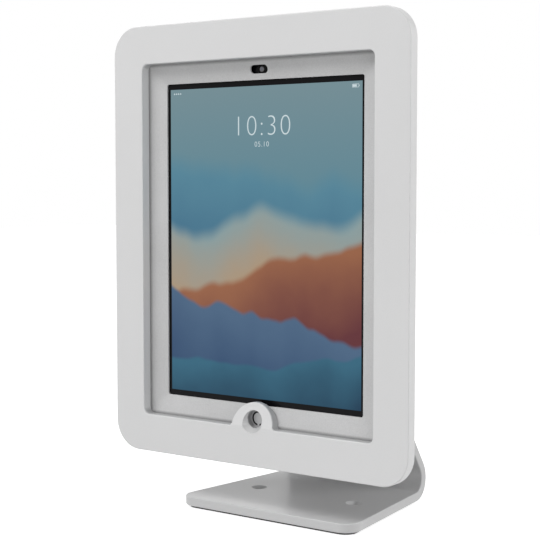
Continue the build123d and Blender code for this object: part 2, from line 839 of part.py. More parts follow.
# Hinge pins, pressed in the housing's lugs.
with BuildPart() as cover_hinge_pins:
    for centre in hinge_centres:
        with BuildSketch(hinge_section(centre - lug_outside)):
            Circle(hinge_pin_radius)
        extrude(amount=2 * lug_outside)
cover_hinge_pins.part.label = "cover_hinge_pins"
export_step(cover_hinge_pins.part, "parts/cover_hinge_pins.step")

# Keeper: a bent strip on the housing's lower wall whose lip stops the cam.
with BuildPart() as keeper_plate:
    with BuildSketch(side_face(-keeper_width / 2)):
        with BuildLine():
            Polyline(
                (keeper_front_y, keeper_floor_z),
                (keeper_front_y + keeper_length, keeper_floor_z),
                (keeper_front_y + keeper_length, keeper_floor_z + keeper_sheet),
                (keeper_front_y + keeper_sheet, keeper_floor_z + keeper_sheet),
                (keeper_front_y + keeper_sheet, keeper_floor_z + keeper_lip),
                (keeper_front_y, keeper_floor_z + keeper_lip),
                close=True,
            )
        make_face()
    extrude(amount=keeper_width)
    with BuildSketch(keeper_floor):
        with Locations((0, keeper_screw_setback)):
            with GridLocations(keeper_screw_spacing, 0, 2, 1):
                Circle(keeper_screw_radius)
    extrude(amount=keeper_sheet, mode=Mode.SUBTRACT)
keeper_plate.part.label = "keeper_plate"
export_step(keeper_plate.part, "parts/keeper_plate.step")

keeper_screw_length = keeper_sheet + housing_wall - keeper_screw_left
with BuildPart() as keeper_screws:
    with Locations(keeper_floor.offset(keeper_sheet)):
        with Locations((0, keeper_screw_setback)):
            with GridLocations(keeper_screw_spacing, 0, 2, 1):
                add(
                    pan_screw(
                        keeper_screw_radius,
                        keeper_screw_head_radius,
                        keeper_screw_head,
                        keeper_screw_length,
                    )
                )
keeper_screws.part.label = "keeper_screws"
export_step(keeper_screws.part, "parts/keeper_screws.step")

# Tablet tray: a moulded insert that fills the housing round the tablet.
tray_width = housing_width - 2 * (housing_wall + tray_gap)
tray_height = housing_height - 2 * (housing_wall + tray_gap)
tray_corner_radius = housing_corner_radius - housing_wall - tray_gap
pocket_width = tablet_width + 2 * tray_gap
pocket_height = tablet_height + 2 * tray_gap
with BuildPart() as tablet_tray:
    with BuildSketch(head_face(housing_floor)):
        RectangleRounded(tray_width, tray_height, tray_corner_radius)
    extrude(amount=housing_floor - tray_rim_setback)
    with BuildSketch(head_face(tray_pocket_floor)):
        RectangleRounded(pocket_width, pocket_height, tablet_corner_radius + tray_gap)
    extrude(amount=tray_pocket_floor, mode=Mode.SUBTRACT)
    with BuildSketch(head_face(tray_rim_setback + finger_notch_depth)):
        with GridLocations(pocket_width, 0, 2, 1):
            Circle(finger_notch_radius)
        RectangleRounded(
            tray_width - 2 * tray_finger_wall,
            tray_height,
            tray_corner_radius,
            mode=Mode.INTERSECT,
        )
    extrude(amount=finger_notch_depth, mode=Mode.SUBTRACT)
    with BuildSketch(head_face(housing_floor)):
        Circle(tray_centre_hole_radius)
        with Locations((0, -tablet_height / 4)):
            Rectangle(cable_channel_width, tablet_height / 2)
    extrude(amount=tray_floor, mode=Mode.SUBTRACT)
    with BuildSketch(head_face(keeper_front + keeper_length + tray_notch_margin)):
        with Locations((0, -housing_height / 2)):
            Rectangle(keeper_width + 2 * tray_notch_margin, housing_height - pocket_height + overrun)
    extrude(amount=keeper_length, mode=Mode.SUBTRACT)
    with Locations(head_face(tray_pocket_floor)):
        with GridLocations(tray_screw_spacing_x, tray_screw_spacing_z, 2, 2):
            CounterSinkHole(
                tray_screw_radius,
                tray_screw_head_radius,
                depth=tray_floor,
                counter_sink_angle=sink_angle,
            )
tablet_tray.part.label = "tablet_tray"
export_step(tablet_tray.part, "parts/tablet_tray.step")

tray_screw_length = tray_floor + housing_wall - tray_screw_left
with BuildPart() as tray_screws:
    with Locations(head_face(tray_pocket_floor)):
        with GridLocations(tray_screw_spacing_x, tray_screw_spacing_z, 2, 2):
            add(sunk_screw(tray_screw_radius, tray_screw_head_radius, tray_screw_length))
tray_screws.part.label = "tray_screws"
export_step(tray_screws.part, "parts/tray_screws.step")

# Foam blocks behind the tablet.
with BuildPart() as back_pads:
    with BuildSketch(head_face(tray_pocket_floor)):
        with GridLocations(pad_block_spacing_x, pad_block_spacing_z, 2, 2):
            RectangleRounded(pad_block_width, pad_block_height, pad_block_radius)
    extrude(amount=tray_pocket_floor - tablet_rear - pad_block_gap)
back_pads.part.label = "back_pads"
export_step(back_pads.part, "parts/back_pads.step")

# Rubber bumpers on the tray's rim under the mask's flange.
mask_flange_margin = window_rim - mask_gap
bumper_spacing_x = window_width + mask_flange_margin
with BuildPart() as cover_bumpers:
    with BuildSketch(head_face(tray_rim_setback)):
        with GridLocations(bumper_spacing_x, bumper_spacing_z, 2, 2):
            Circle(bumper_radius)
    extrude(amount=tray_rim_setback - flange_rear - bumper_gap)
cover_bumpers.part.label = "cover_bumpers"
export_step(cover_bumpers.part, "parts/cover_bumpers.step")

# Tablet shell: a thin tray with a rounded back, open at the front for the glass.
with BuildPart() as tablet_shell:
    with BuildSketch(head_face(tablet_rear)):
        RectangleRounded(tablet_width, tablet_height, tablet_corner_radius)
    extrude(amount=tablet_rear - shell_front)
    shell_back_rim = tablet_shell.faces().sort_by(Axis.Y)[-1].outer_wire().edges()
    fillet(shell_back_rim, radius=tablet_back_rounding)
    with BuildSketch(head_face(glass_rear)):
        RectangleRounded(
            tablet_width - 2 * tablet_rim,
            tablet_height - 2 * tablet_rim,
            tablet_corner_radius - tablet_rim,
        )
    extrude(amount=glass_rear - shell_front + overrun, mode=Mode.SUBTRACT)
    with BuildSketch(head_face(tablet_floor)):
        RectangleRounded(
            tablet_width - 2 * tablet_wall,
            tablet_height - 2 * tablet_wall,
            tablet_corner_radius - tablet_wall,
        )
    extrude(amount=tablet_floor - glass_rear, mode=Mode.SUBTRACT)
    with BuildSketch(port_face):
        SlotOverall(port_width, port_height)
    extrude(amount=tablet_wall, mode=Mode.SUBTRACT)
tablet_shell.part.label = "tablet_shell"
export_step(tablet_shell.part, "parts/tablet_shell.step")

# Front glass with a small round window for the camera.
glass_inset = tablet_rim + glass_gap
with BuildPart() as tablet_glass:
    with BuildSketch(head_face(glass_rear)):
        RectangleRounded(
            tablet_width - 2 * glass_inset,
            tablet_height - 2 * glass_inset,
            tablet_corner_radius - glass_inset,
        )
        with Locations((0, lens_height)):
            Circle(lens_radius + lens_gap, mode=Mode.SUBTRACT)
    extrude(amount=glass_thickness)
tablet_glass.part.label = "tablet_glass"
export_step(tablet_glass.part, "parts/tablet_glass.step")

# Display panel bonded behind the glass.
with BuildPart() as display_panel:
    with BuildSketch(head_face(glass_rear + panel_thickness)):
        Rectangle(picture_width + 2 * panel_border, picture_height + 2 * panel_border)
    extrude(amount=panel_thickness)
display_panel.part.label = "display_panel"
export_step(display_panel.part, "parts/display_panel.step")

# Camera of the tablet: a flange behind the glass and a domed lens in its window.
with BuildPart() as tablet_camera:
    with BuildSketch(head_face(glass_rear + lens_flange_thickness)):
        with Locations((0, lens_height)):
            Circle(lens_flange_radius)
    extrude(amount=lens_flange_thickness)
    with BuildSketch(head_face(glass_rear)):
        with Locations((0, lens_height)):
            Circle(lens_radius)
    extrude(amount=glass_thickness)
    fillet(tablet_camera.edges().sort_by(Axis.Y)[0], radius=lens_radius / 4)
tablet_camera.part.label = "tablet_camera"
export_step(tablet_camera.part, "parts/tablet_camera.step")

# Battery cells and main board on the shell's floor.
with BuildPart() as tablet_battery:
    with BuildSketch(head_face(tablet_floor)):
        with Locations((0, -cell_drop)):
            with GridLocations(cell_width + cell_gap, 0, 2, 1):
                RectangleRounded(cell_width, cell_height, cell_thickness)
    extrude(amount=cell_thickness)
tablet_battery.part.label = "tablet_battery"
export_step(tablet_battery.part, "parts/tablet_battery.step")

with BuildPart() as tablet_board:
    with BuildSketch(head_face(tablet_floor)):
        with Locations((0, board_rise)):
            RectangleRounded(board_width, board_height, board_thickness)
    extrude(amount=board_thickness)
tablet_board.part.label = "tablet_board"
export_step(tablet_board.part, "parts/tablet_board.step")

# Front frame: a cast ring with a crisp face, open behind between its outer and
# inner rims. A round tab for the lock stands up from the window's lower edge.
rim_width = window_width + 2 * window_rim
rim_height = window_height + 2 * window_rim
rim_corner_radius = window_corner_radius + window_rim
boss_bottom = housing_height / 2 - housing_wall - boss_gap
side_screws = GridLocations(window_width + window_rim, side_screw_spacing, 2, 3).locations
end_screws = GridLocations(end_screw_spacing, window_height + window_rim, 2, 2).locations
tab_place = Location((0, -tab_drop, 0), (0, 0, -90))
with BuildPart() as front_frame:
    with BuildSketch(head_face(frame_depth)):
        RectangleRounded(frame_width, frame_height, frame_corner_radius)
    extrude(amount=frame_depth)
    rear_edge = front_frame.faces().sort_by(Axis.Y)[-1].outer_wire().edges()
    fillet(rear_edge, radius=frame_rear_edge)
    with BuildSketch(head_face(frame_depth)):
        RectangleRounded(
            frame_width - 2 * frame_rim,
            frame_height - 2 * frame_rim,
            frame_corner_radius - frame_rim,
        )
        RectangleRounded(rim_width, rim_height, rim_corner_radius, mode=Mode.SUBTRACT)
    extrude(amount=frame_depth - frame_skin, mode=Mode.SUBTRACT)
    with BuildSketch(head_face(frame_depth)):
        RectangleRounded(rim_width, rim_height, rim_corner_radius)
    extrude(amount=frame_depth - window_wall_depth, mode=Mode.SUBTRACT)
    with BuildSketch(head_face(tab_depth)):
        with Locations(tab_place):
            Circle(tab_radius)
        with Locations((0, 0)):
            Rectangle(window_width, 2 * boss_bottom, mode=Mode.INTERSECT)
    extrude(amount=tab_depth - frame_skin)
    with BuildSketch(head_face(frame_depth)) as window_outline:
        RectangleRounded(window_width, window_height, window_corner_radius)
        with Locations(tab_place):
            Circle(tab_radius, mode=Mode.SUBTRACT)
        lower_corners = window_outline.vertices().group_by(Axis.Y)[0]
        fillet(
            lower_corners.filter_by_position(Axis.X, -tab_radius, tab_radius),
            radius=tab_foot_radius,
        )
    extrude(amount=frame_depth, mode=Mode.SUBTRACT)
    front_edges = front_frame.faces().sort_by(Axis.Y)[0].edges()
    fillet(front_edges, radius=frame_front_edge)
    for centre in hinge_centres:
        with BuildSketch(hinge_section(centre - cover_lug_width / 2)):
            Circle(hinge_knuckle_radius)
            with Locations(((frame_skin - hinge_setback) / 2, hinge_knuckle_radius / 2)):
                Rectangle(hinge_setback - frame_skin, hinge_knuckle_radius)
            Circle(hinge_pin_radius + hinge_running_gap, mode=Mode.SUBTRACT)
        extrude(amount=cover_lug_width)
    with BuildSketch(head_face(0)):
        with Locations((0, -lock_drop)):
            Circle(sleeve_head_radius + sleeve_gap)
    extrude(amount=-sleeve_head_depth, mode=Mode.SUBTRACT)
    with BuildSketch(head_face(0)):
        with Locations((0, -lock_drop)):
            Circle(sleeve_radius + sleeve_gap)
    extrude(amount=-tab_depth, mode=Mode.SUBTRACT)
    with BuildSketch(head_face(flange_front)):
        with Locations(side_screws + end_screws):
            Circle(mask_screw_radius)
    extrude(amount=mask_screw_bite + screw_tip_gap, mode=Mode.SUBTRACT)
front_frame.part.label = "front_frame"
export_step(front_frame.part, "parts/front_frame.step")

# Inner mask: a pressed sheet with a flat flange behind the frame's inner rim and a
# bevel that slopes down to the opening over the screen.
with BuildPart() as inner_mask:
    with BuildSketch(head_face(flange_rear)):
        RectangleRounded(
            window_width + 2 * mask_flange_margin,
            window_height + 2 * mask_flange_margin,
            window_corner_radius + mask_flange_margin,
        )
    extrude(amount=mask_sheet)
    with BuildSketch(head_face(flange_rear)):
        RectangleRounded(window_width, window_height, window_corner_radius)
    with BuildSketch(head_face(mask_rear)):
        RectangleRounded(
            opening_width + 2 * mask_sheet,
            opening_height + 2 * mask_sheet,
            opening_corner_radius + mask_sheet,
        )
    loft(ruled=True)
    with BuildSketch(head_face(flange_front)):
        RectangleRounded(window_width, window_height, window_corner_radius)
    with BuildSketch(head_face(bevel_floor)):
        RectangleRounded(opening_width, opening_height, opening_corner_radius)
    loft(ruled=True, mode=Mode.SUBTRACT)
    with BuildSketch(head_face(mask_rear)):
        RectangleRounded(opening_width, opening_height, opening_corner_radius)
    extrude(amount=mask_sheet, mode=Mode.SUBTRACT)
    with BuildSketch(head_face(mask_rear)):
        with Locations(tab_place):
            Circle(tab_radius + mask_notch_gap)
        with Locations((0, slot_rise)):
            SlotOverall(slot_length, slot_height)
        with Locations(side_screws + end_screws):
            Circle(mask_screw_radius + mask_screw_clearance)
    extrude(amount=mask_rear - flange_front, mode=Mode.SUBTRACT)
inner_mask.part.label = "inner_mask"
export_step(inner_mask.part, "parts/inner_mask.step")

with BuildPart() as mask_screws:
    with Locations(Plane(head_face(flange_rear).origin, x_dir=(1, 0, 0), z_dir=(0, 1, 0))):
        with Locations(side_screws + end_screws):
            add(
                pan_screw(
                    mask_screw_radius,
                    mask_screw_head_radius,
                    mask_screw_head,
                    mask_sheet + mask_screw_bite,
                )
            )
mask_screws.part.label = "mask_screws"
export_step(mask_screws.part, "parts/mask_screws.step")

# Lock sleeve: a headed barrel, flush with the frame, with a conical mouth.
lock_rear = cam_front - lock_stack_gap
with BuildPart() as lock_sleeve:
    with BuildSketch(head_face(sleeve_head_depth)):
        with Locations((0, -lock_drop)):
            Circle(sleeve_head_radius)
    extrude(amount=sleeve_head_depth)
    with BuildSketch(head_face(lock_rear)):
        with Locations((0, -lock_drop)):
            Circle(sleeve_radius)
    extrude(amount=lock_rear - sleeve_head_depth)
    with BuildSketch(head_face(0)):
        with Locations((0, -lock_drop)):
            Circle(mouth_radius)
    with BuildSketch(head_face(mouth_depth)):
        with Locations((0, -lock_drop)):
            Circle(mouth_floor_radius)
    loft(mode=Mode.SUBTRACT)
    with BuildSketch(head_face(lock_rear)):
        with Locations((0, -lock_drop)):
            Circle(plug_radius + lock_turn_gap)
    extrude(amount=lock_rear - mouth_depth, mode=Mode.SUBTRACT)
lock_sleeve.part.label = "lock_sleeve"
export_step(lock_sleeve.part, "parts/lock_sleeve.step")

# Round nut with two spanner flats behind the tab.
with BuildPart() as lock_nut:
    with BuildSketch(head_face(lock_rear)):
        with Locations((0, -lock_drop)):
            Circle(lock_nut_radius)
            Rectangle(lock_nut_flats, 2 * lock_nut_radius, mode=Mode.INTERSECT)
            Circle(sleeve_radius + sleeve_gap, mode=Mode.SUBTRACT)
    extrude(amount=lock_rear - tab_depth)
lock_nut.part.label = "lock_nut"
export_step(lock_nut.part, "parts/lock_nut.step")

# Lock plug: a round keyway about a centre post, two key notches, and a square tail
# for the cam.
plug_front = mouth_depth + lock_turn_gap
tail_rear = cam_front + cam_tail_length
with BuildPart() as lock_plug:
    with BuildSketch(head_face(cam_front)):
        with Locations((0, -lock_drop)):
            Circle(plug_radius)
    extrude(amount=cam_front - plug_front)
    with BuildSketch(head_face(tail_rear)):
        with Locations((0, -lock_drop)):
            Rectangle(cam_square, cam_square)
    extrude(amount=cam_tail_length)
    with BuildSketch(head_face(plug_front + keyway_depth)):
        with Locations((0, -lock_drop)):
            Circle(keyway_radius)
            Circle(post_radius, mode=Mode.SUBTRACT)
            with PolarLocations(
                keyway_radius,
                2,
                start_angle=key_notch_start_angle,
                angular_range=key_notch_spread_angle,
                endpoint=True,
            ):
                Rectangle(2 * key_notch_length, key_notch_width)
    extrude(amount=keyway_depth, mode=Mode.SUBTRACT)
    with BuildSketch(head_face(plug_front)):
        with Locations((0, -lock_drop)):
            Circle(post_radius)
    extrude(amount=-post_setback, mode=Mode.SUBTRACT)
    with BuildSketch(head_face(tail_rear)):
        with Locations((0, -lock_drop)):
            Circle(cam_screw_radius)
    extrude(amount=cam_screw_length + screw_tip_gap, mode=Mode.SUBTRACT)
lock_plug.part.label = "lock_plug"
export_step(lock_plug.part, "parts/lock_plug.step")

# Cam: a flat arm on the plug's tail that points sideways while the lock is open.
cam_rear = cam_front + cam_thickness
with BuildPart() as lock_cam:
    with BuildSketch(head_face(cam_rear)) as cam_outline:
        with Locations((cam_reach / 2, -lock_drop)):
            Rectangle(cam_reach, cam_width)
        fillet(cam_outline.vertices().group_by(Axis.X)[-1], radius=cam_width / 4)
        with Locations((0, -lock_drop)):
            Circle(cam_width / 2)
            Rectangle(cam_square + cam_square_gap, cam_square + cam_square_gap, mode=Mode.SUBTRACT)
    extrude(amount=cam_thickness)
    with BuildSketch(head_face(cam_rear)):
        with Locations((0, -lock_drop)):
            Circle(cam_screw_head_radius)
    extrude(amount=cam_rear - tail_rear, taper=sink_angle / 2, mode=Mode.SUBTRACT)
lock_cam.part.label = "lock_cam"
export_step(lock_cam.part, "parts/lock_cam.step")

# Low countersunk screw that holds the cam on the plug.
with BuildPart() as cam_screw:
    with BuildSketch(head_face(cam_rear)):
        with Locations((0, -lock_drop)):
            Circle(cam_screw_head_radius)
    extrude(amount=cam_rear - tail_rear, taper=sink_angle / 2)
    with BuildSketch(head_face(tail_rear)):
        with Locations((0, -lock_drop)):
            Circle(cam_screw_radius)
    extrude(amount=cam_screw_length)
    with BuildSketch(head_face(cam_rear)):
        with Locations((0, -lock_drop)):
            Rectangle(2 * cam_screw_head_radius, cam_screw_slot_width)
    extrude(amount=cam_screw_slot_depth, mode=Mode.SUBTRACT)
cam_screw.part.label = "cam_screw"
export_step(cam_screw.part, "parts/cam_screw.step")
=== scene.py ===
# %% [markdown]
# # Looks for a lockable tablet stand
# The solid model of the stand comes in first, as a fixed frame in metres. Its
# nodes already have their true shapes, so most of them stay, and this lesson gives
# each one a finish: coated metal, turned steel, rubber, glass and a lit screen.
# Only what a solid model can't hold, such as the picture's digits, is made new, and
# the lock's tab is cut to its leaning shape.

# %% Load the frame
import bpy
import json
import math
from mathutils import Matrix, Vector

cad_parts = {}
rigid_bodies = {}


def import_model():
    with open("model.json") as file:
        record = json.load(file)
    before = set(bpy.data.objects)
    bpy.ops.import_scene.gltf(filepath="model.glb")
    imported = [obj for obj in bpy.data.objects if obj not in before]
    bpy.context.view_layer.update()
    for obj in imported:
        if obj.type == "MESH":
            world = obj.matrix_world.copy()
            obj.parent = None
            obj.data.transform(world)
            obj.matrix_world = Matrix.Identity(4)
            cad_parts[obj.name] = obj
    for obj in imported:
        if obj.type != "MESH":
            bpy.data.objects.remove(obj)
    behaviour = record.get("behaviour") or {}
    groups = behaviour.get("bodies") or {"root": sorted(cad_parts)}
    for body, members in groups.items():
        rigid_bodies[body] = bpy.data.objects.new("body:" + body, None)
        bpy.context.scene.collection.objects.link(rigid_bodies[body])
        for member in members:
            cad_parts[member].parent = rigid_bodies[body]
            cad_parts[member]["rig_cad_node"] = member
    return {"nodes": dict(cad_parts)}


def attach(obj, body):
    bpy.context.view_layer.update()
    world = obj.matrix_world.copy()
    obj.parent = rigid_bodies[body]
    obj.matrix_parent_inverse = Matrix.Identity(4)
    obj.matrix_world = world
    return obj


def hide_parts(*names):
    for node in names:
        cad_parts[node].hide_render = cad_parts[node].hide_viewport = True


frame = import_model()
bpy.ops.object.select_all(action="DESELECT")
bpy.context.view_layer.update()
nodes = frame["nodes"]

# %% [markdown]
# ## The camera
# The photograph was fitted with one upright camera. It stands to the right of the
# screen, a little above its middle, and looks slightly down. A long lens keeps the
# frame's sides nearly parallel, so the lens matters as much as the place.

# %% Set the camera
CAMERA_PLACE = (0.4967, -0.72705, 0.2163)
CAMERA_PITCH = math.radians(90 - 3.85)
CAMERA_YAW = math.radians(35.97)
CAMERA_LENS = 89.3
CAMERA_SENSOR = 36
CAMERA_NEAR_CLIP = 0.01

bpy.ops.object.camera_add(location=CAMERA_PLACE, rotation=(CAMERA_PITCH, 0, CAMERA_YAW))
camera = bpy.context.object
camera.data.lens = CAMERA_LENS
camera.data.sensor_width = CAMERA_SENSOR
camera.data.clip_start = CAMERA_NEAR_CLIP
bpy.context.scene.camera = camera
print("camera at", CAMERA_PLACE, "lens", camera.data.lens)

# %% [markdown]
# ## Small helpers for node trees
# A finish is a small graph of nodes. Short helpers keep each recipe readable. The
# first ones add a node and fill its inputs with numbers or links, do sums, mix two
# colours, and give places on the object and distances from an axis.

# %% Node helpers
def add(tree, kind, inputs=None, **settings):
    node = tree.nodes.new(kind)
    for name, value in settings.items():
        setattr(node, name, value)
    for name, value in (inputs or {}).items():
        if isinstance(value, bpy.types.NodeSocket):
            tree.links.new(value, node.inputs[name])
        else:
            node.inputs[name].default_value = value
    return node


def maths(tree, operation, a, b=0.0):
    return add(tree, "ShaderNodeMath", {0: a, 1: b}, operation=operation).outputs[0]


def distance(tree, across, up):
    squares = maths(tree, "ADD", maths(tree, "POWER", across, 2.0), maths(tree, "POWER", up, 2.0))
    return maths(tree, "SQRT", squares)


def centred(tree, noise):
    """The noise's value, shifted to swing about zero."""
    return maths(tree, "SUBTRACT", noise.outputs[0], 0.5)


def remap(tree, value, start, end, low=0.0, high=1.0, **settings):
    span = {0: value, 1: start, 2: end, 3: low, 4: high}
    return add(tree, "ShaderNodeMapRange", span, **settings).outputs[0]


def blend_colours(tree, share, first, second, way="MIX"):
    mixed = add(tree, "ShaderNodeMix", {0: share, 6: first, 7: second}, data_type="RGBA", blend_type=way)
    return mixed.outputs[2]


def object_place(tree):
    return add(tree, "ShaderNodeTexCoord").outputs["Object"]


def seen_by_camera(tree):
    """One where the camera looks, straight or by way of metal or glass, and else zero."""
    path = add(tree, "ShaderNodeLightPath")
    seen = maths(tree, "MAXIMUM", path.outputs["Is Camera Ray"], path.outputs["Is Glossy Ray"])
    return maths(tree, "MAXIMUM", seen, path.outputs["Is Transmission Ray"])


print("node helpers ready")

# %% [markdown]
# The next helpers start a material or a group, add fine relief to a shader, and put
# a finish on nodes of the frame by their names.

# %% Material helpers
def start_material(name, **constants):
    material = bpy.data.materials.new(name)
    material.use_nodes = True
    shader = material.node_tree.nodes["Principled BSDF"]
    for socket, value in constants.items():
        shader.inputs[socket.replace("_", " ")].default_value = value
    return material, material.node_tree, shader


def start_group(name, inputs, outputs):
    tree = bpy.data.node_groups.new(name, "ShaderNodeTree")
    kinds = {"colour": "NodeSocketColor", "number": "NodeSocketFloat"}
    for label, kind, value in inputs:
        socket = tree.interface.new_socket(label, in_out="INPUT", socket_type=kinds[kind])
        socket.default_value = value
    for label, kind in outputs:
        tree.interface.new_socket(label, in_out="OUTPUT", socket_type=kinds[kind])
    return tree, tree.nodes.new("NodeGroupInput"), tree.nodes.new("NodeGroupOutput")


def use_group(tree, group, inputs):
    return add(tree, "ShaderNodeGroup", inputs, node_tree=group)


def bump(tree, shader, height, depth):
    raised = add(tree, "ShaderNodeBump", {"Height": height, "Distance": depth, "Strength": 1.0})
    tree.links.new(raised.outputs[0], shader.inputs["Normal"])


def dress(material, *names):
    for name in names:
        nodes[name].data.materials.clear()
        nodes[name].data.materials.append(material)
    print(material.name, "->", ", ".join(names))


print("material helpers ready")

# %% [markdown]
# ## Coated metal
# The enclosure and the stand are baked powder coat on metal. Close up, such a coat
# has a fine orange peel, a slight change of tone from place to place, and patches
# that are a little glossier. One group makes all three from noise on the object's
# own coordinates, so every coated piece can share it with its own values.

# %% Group for coats and mouldings
coat_group, g_in, g_out = start_group(
    "surface coat",
    [
        ("Tone", "colour", (0.6, 0.6, 0.6, 1)),
        ("Mottle", "number", 0.03),
        ("Grain per metre", "number", 900.0),
        ("Gloss floor", "number", 0.35),
        ("Gloss spread", "number", 0.1),
    ],
    [("Tone", "colour"), ("Roughness", "number"), ("Height", "number")],
)
place = object_place(coat_group)
grain = {"Vector": place, "Scale": g_in.outputs["Grain per metre"], "Detail": 2.0}
fine = add(coat_group, "ShaderNodeTexNoise", grain)
broad = add(coat_group, "ShaderNodeTexNoise", {"Vector": place, "Scale": 14.0, "Detail": 3.0})
swing = maths(coat_group, "MULTIPLY", centred(coat_group, broad), g_in.outputs["Mottle"])
speck = maths(coat_group, "MULTIPLY", centred(coat_group, fine), g_in.outputs["Mottle"])
level = maths(coat_group, "ADD", maths(coat_group, "ADD", swing, speck), 1.0)
grey = add(coat_group, "ShaderNodeCombineColor", {0: level, 1: level, 2: level}).outputs[0]
tone = blend_colours(coat_group, 1.0, g_in.outputs["Tone"], grey, "MULTIPLY")
patch = maths(coat_group, "MULTIPLY", broad.outputs[0], g_in.outputs["Gloss spread"])
coat_group.links.new(tone, g_out.inputs["Tone"])
gloss = maths(coat_group, "ADD", patch, g_in.outputs["Gloss floor"])
coat_group.links.new(gloss, g_out.inputs["Roughness"])
coat_group.links.new(fine.outputs[0], g_out.inputs["Height"])
print("group:", coat_group.name)


# %% Recipe for a coated or moulded finish
def coated(name, tone, mottle, grain, gloss, spread, depth, **constants):
    material, tree, shader = start_material(name, **constants)
    values = {"Tone": (*tone, 1), "Mottle": mottle, "Grain per metre": grain}
    coat = use_group(tree, coat_group, {**values, "Gloss floor": gloss, "Gloss spread": spread})
    tree.links.new(coat.outputs["Tone"], shader.inputs["Base Color"])
    tree.links.new(coat.outputs["Roughness"], shader.inputs["Roughness"])
    bump(tree, shader, coat.outputs["Height"], depth)
    return material


# tone, mottle, grain per metre, gloss floor, gloss spread, depth of the grain
FRAME_FINISH = ((0.71, 0.71, 0.712), 0.05, 1100, 0.36, 0.12, 0.00002)
FRAME_GLAZE = 0.15

frame_coat = coated("frame_coat", *FRAME_FINISH, Coat_Weight=FRAME_GLAZE)
housing_coat = coated("housing_coat", (0.64, 0.64, 0.643), 0.05, 900, 0.4, 0.14, 0.00003)
mask_coat = coated("mask_coat", (0.575, 0.575, 0.577), 0.32, 1500, 0.36, 0.12, 0.00003)
stand_coat = coated("stand_coat", (0.575, 0.575, 0.578), 0.06, 800, 0.27, 0.12, 0.000015, Coat_Weight=0.1)
dress(frame_coat, "front_frame")
dress(housing_coat, "rear_housing")
dress(mask_coat, "inner_mask")
dress(stand_coat, "stand_plate", "arm_bracket")

# %% [markdown]
# ## Machined metal
# Turned parts carry fine rings about their own axis, left by the tool. The group
# measures the distance from an axis and feeds it to a one-dimensional noise, which
# gives rings of uneven width. The rings change the gloss and the height a little.

# %% Group for turned rings
turned_group, g_in, g_out = start_group(
    "turned rings",
    [
        ("Axis Z", "number", 0.0),
        ("Rings per metre", "number", 4000.0),
        ("Gloss floor", "number", 0.2),
        ("Gloss spread", "number", 0.2),
    ],
    [("Roughness", "number"), ("Height", "number")],
)
split = add(turned_group, "ShaderNodeSeparateXYZ", {0: object_place(turned_group)})
upward = maths(turned_group, "SUBTRACT", split.outputs["Z"], g_in.outputs["Axis Z"])
radius = distance(turned_group, split.outputs["X"], upward)
ring_count = maths(turned_group, "MULTIPLY", radius, g_in.outputs["Rings per metre"])
uneven = {"W": ring_count, "Scale": 1.0, "Detail": 1.0}
rings = add(turned_group, "ShaderNodeTexNoise", uneven, noise_dimensions="1D")
spread = maths(turned_group, "MULTIPLY", rings.outputs[0], g_in.outputs["Gloss spread"])
gloss = maths(turned_group, "ADD", spread, g_in.outputs["Gloss floor"])
turned_group.links.new(gloss, g_out.inputs["Roughness"])
turned_group.links.new(rings.outputs[0], g_out.inputs["Height"])
print("group:", turned_group.name)


# %% Turned finishes
HEAD_Z = 0.1764
FRONT_Y = -0.062708
LOCK_Z = HEAD_Z - 0.110
RING_DEPTH = 0.00001


def turned(name, tone, axis_z, rings_per_metre, gloss, spread, metallic=1.0):
    material, tree, shader = start_material(name, Base_Color=(*tone, 1), Metallic=metallic)
    values = {"Axis Z": axis_z, "Rings per metre": rings_per_metre}
    cut = use_group(tree, turned_group, {**values, "Gloss floor": gloss, "Gloss spread": spread})
    tree.links.new(cut.outputs["Roughness"], shader.inputs["Roughness"])
    bump(tree, shader, cut.outputs["Height"], RING_DEPTH)
    return material


lock_satin = turned("lock_satin", (0.57, 0.57, 0.575), LOCK_Z, 4000, 0.38, 0.14, metallic=0.2)
plug_steel = turned("plug_steel", (0.4, 0.4, 0.405), LOCK_Z, 6000, 0.28, 0.2, metallic=0.5)
pivot_steel = turned("pivot_steel", (0.5, 0.5, 0.5), HEAD_Z, 3500, 0.22, 0.25)
disc_metal = turned("disc_metal", (0.62, 0.62, 0.63), HEAD_Z, 2500, 0.28, 0.2)
dress(lock_satin, "lock_sleeve", "lock_nut")
dress(plug_steel, "lock_plug")
dress(pivot_steel, "pivot_sleeve", "pivot_nut", "friction_ring")
dress(disc_metal, "swivel_disc")

# %% [markdown]
# ## Plated and blackened steel
# Screws, the bolt and small pressings come plated or oiled from the shop. They are
# not turned about the lock's axis, so they use the coat group for a fine crystal
# grain and cloudy gloss, with the metal value set on the shader itself.

# %% Screws, bolt and pressings
zinc_plate = coated("zinc_plate", (0.55, 0.56, 0.57), 0.12, 2600, 0.24, 0.2, 0.00001, Metallic=1.0)
black_steel = coated("black_steel", (0.03, 0.03, 0.032), 0.2, 2200, 0.3, 0.2, 0.00001, Metallic=0.7)
spring_steel = coated("spring_steel", (0.42, 0.41, 0.39), 0.15, 2600, 0.24, 0.22, 0.00001, Metallic=1.0)
dress(zinc_plate, "mask_screws", "keeper_screws", "tray_screws", "disc_screws", "cam_screw")
dress(zinc_plate, "keeper_plate", "lock_cam")
dress(black_steel, "tilt_bolt", "tilt_nut", "bracket_screws")
dress(spring_steel, "tilt_spring_washers", "stop_pin", "cover_hinge_pins")

# %% [markdown]
# ## Head plate
# The head is a bracket of steel with the same coat as the stand, so that the neck
# reads as one part with it. Its friction parts are plastic and brass-like metal.

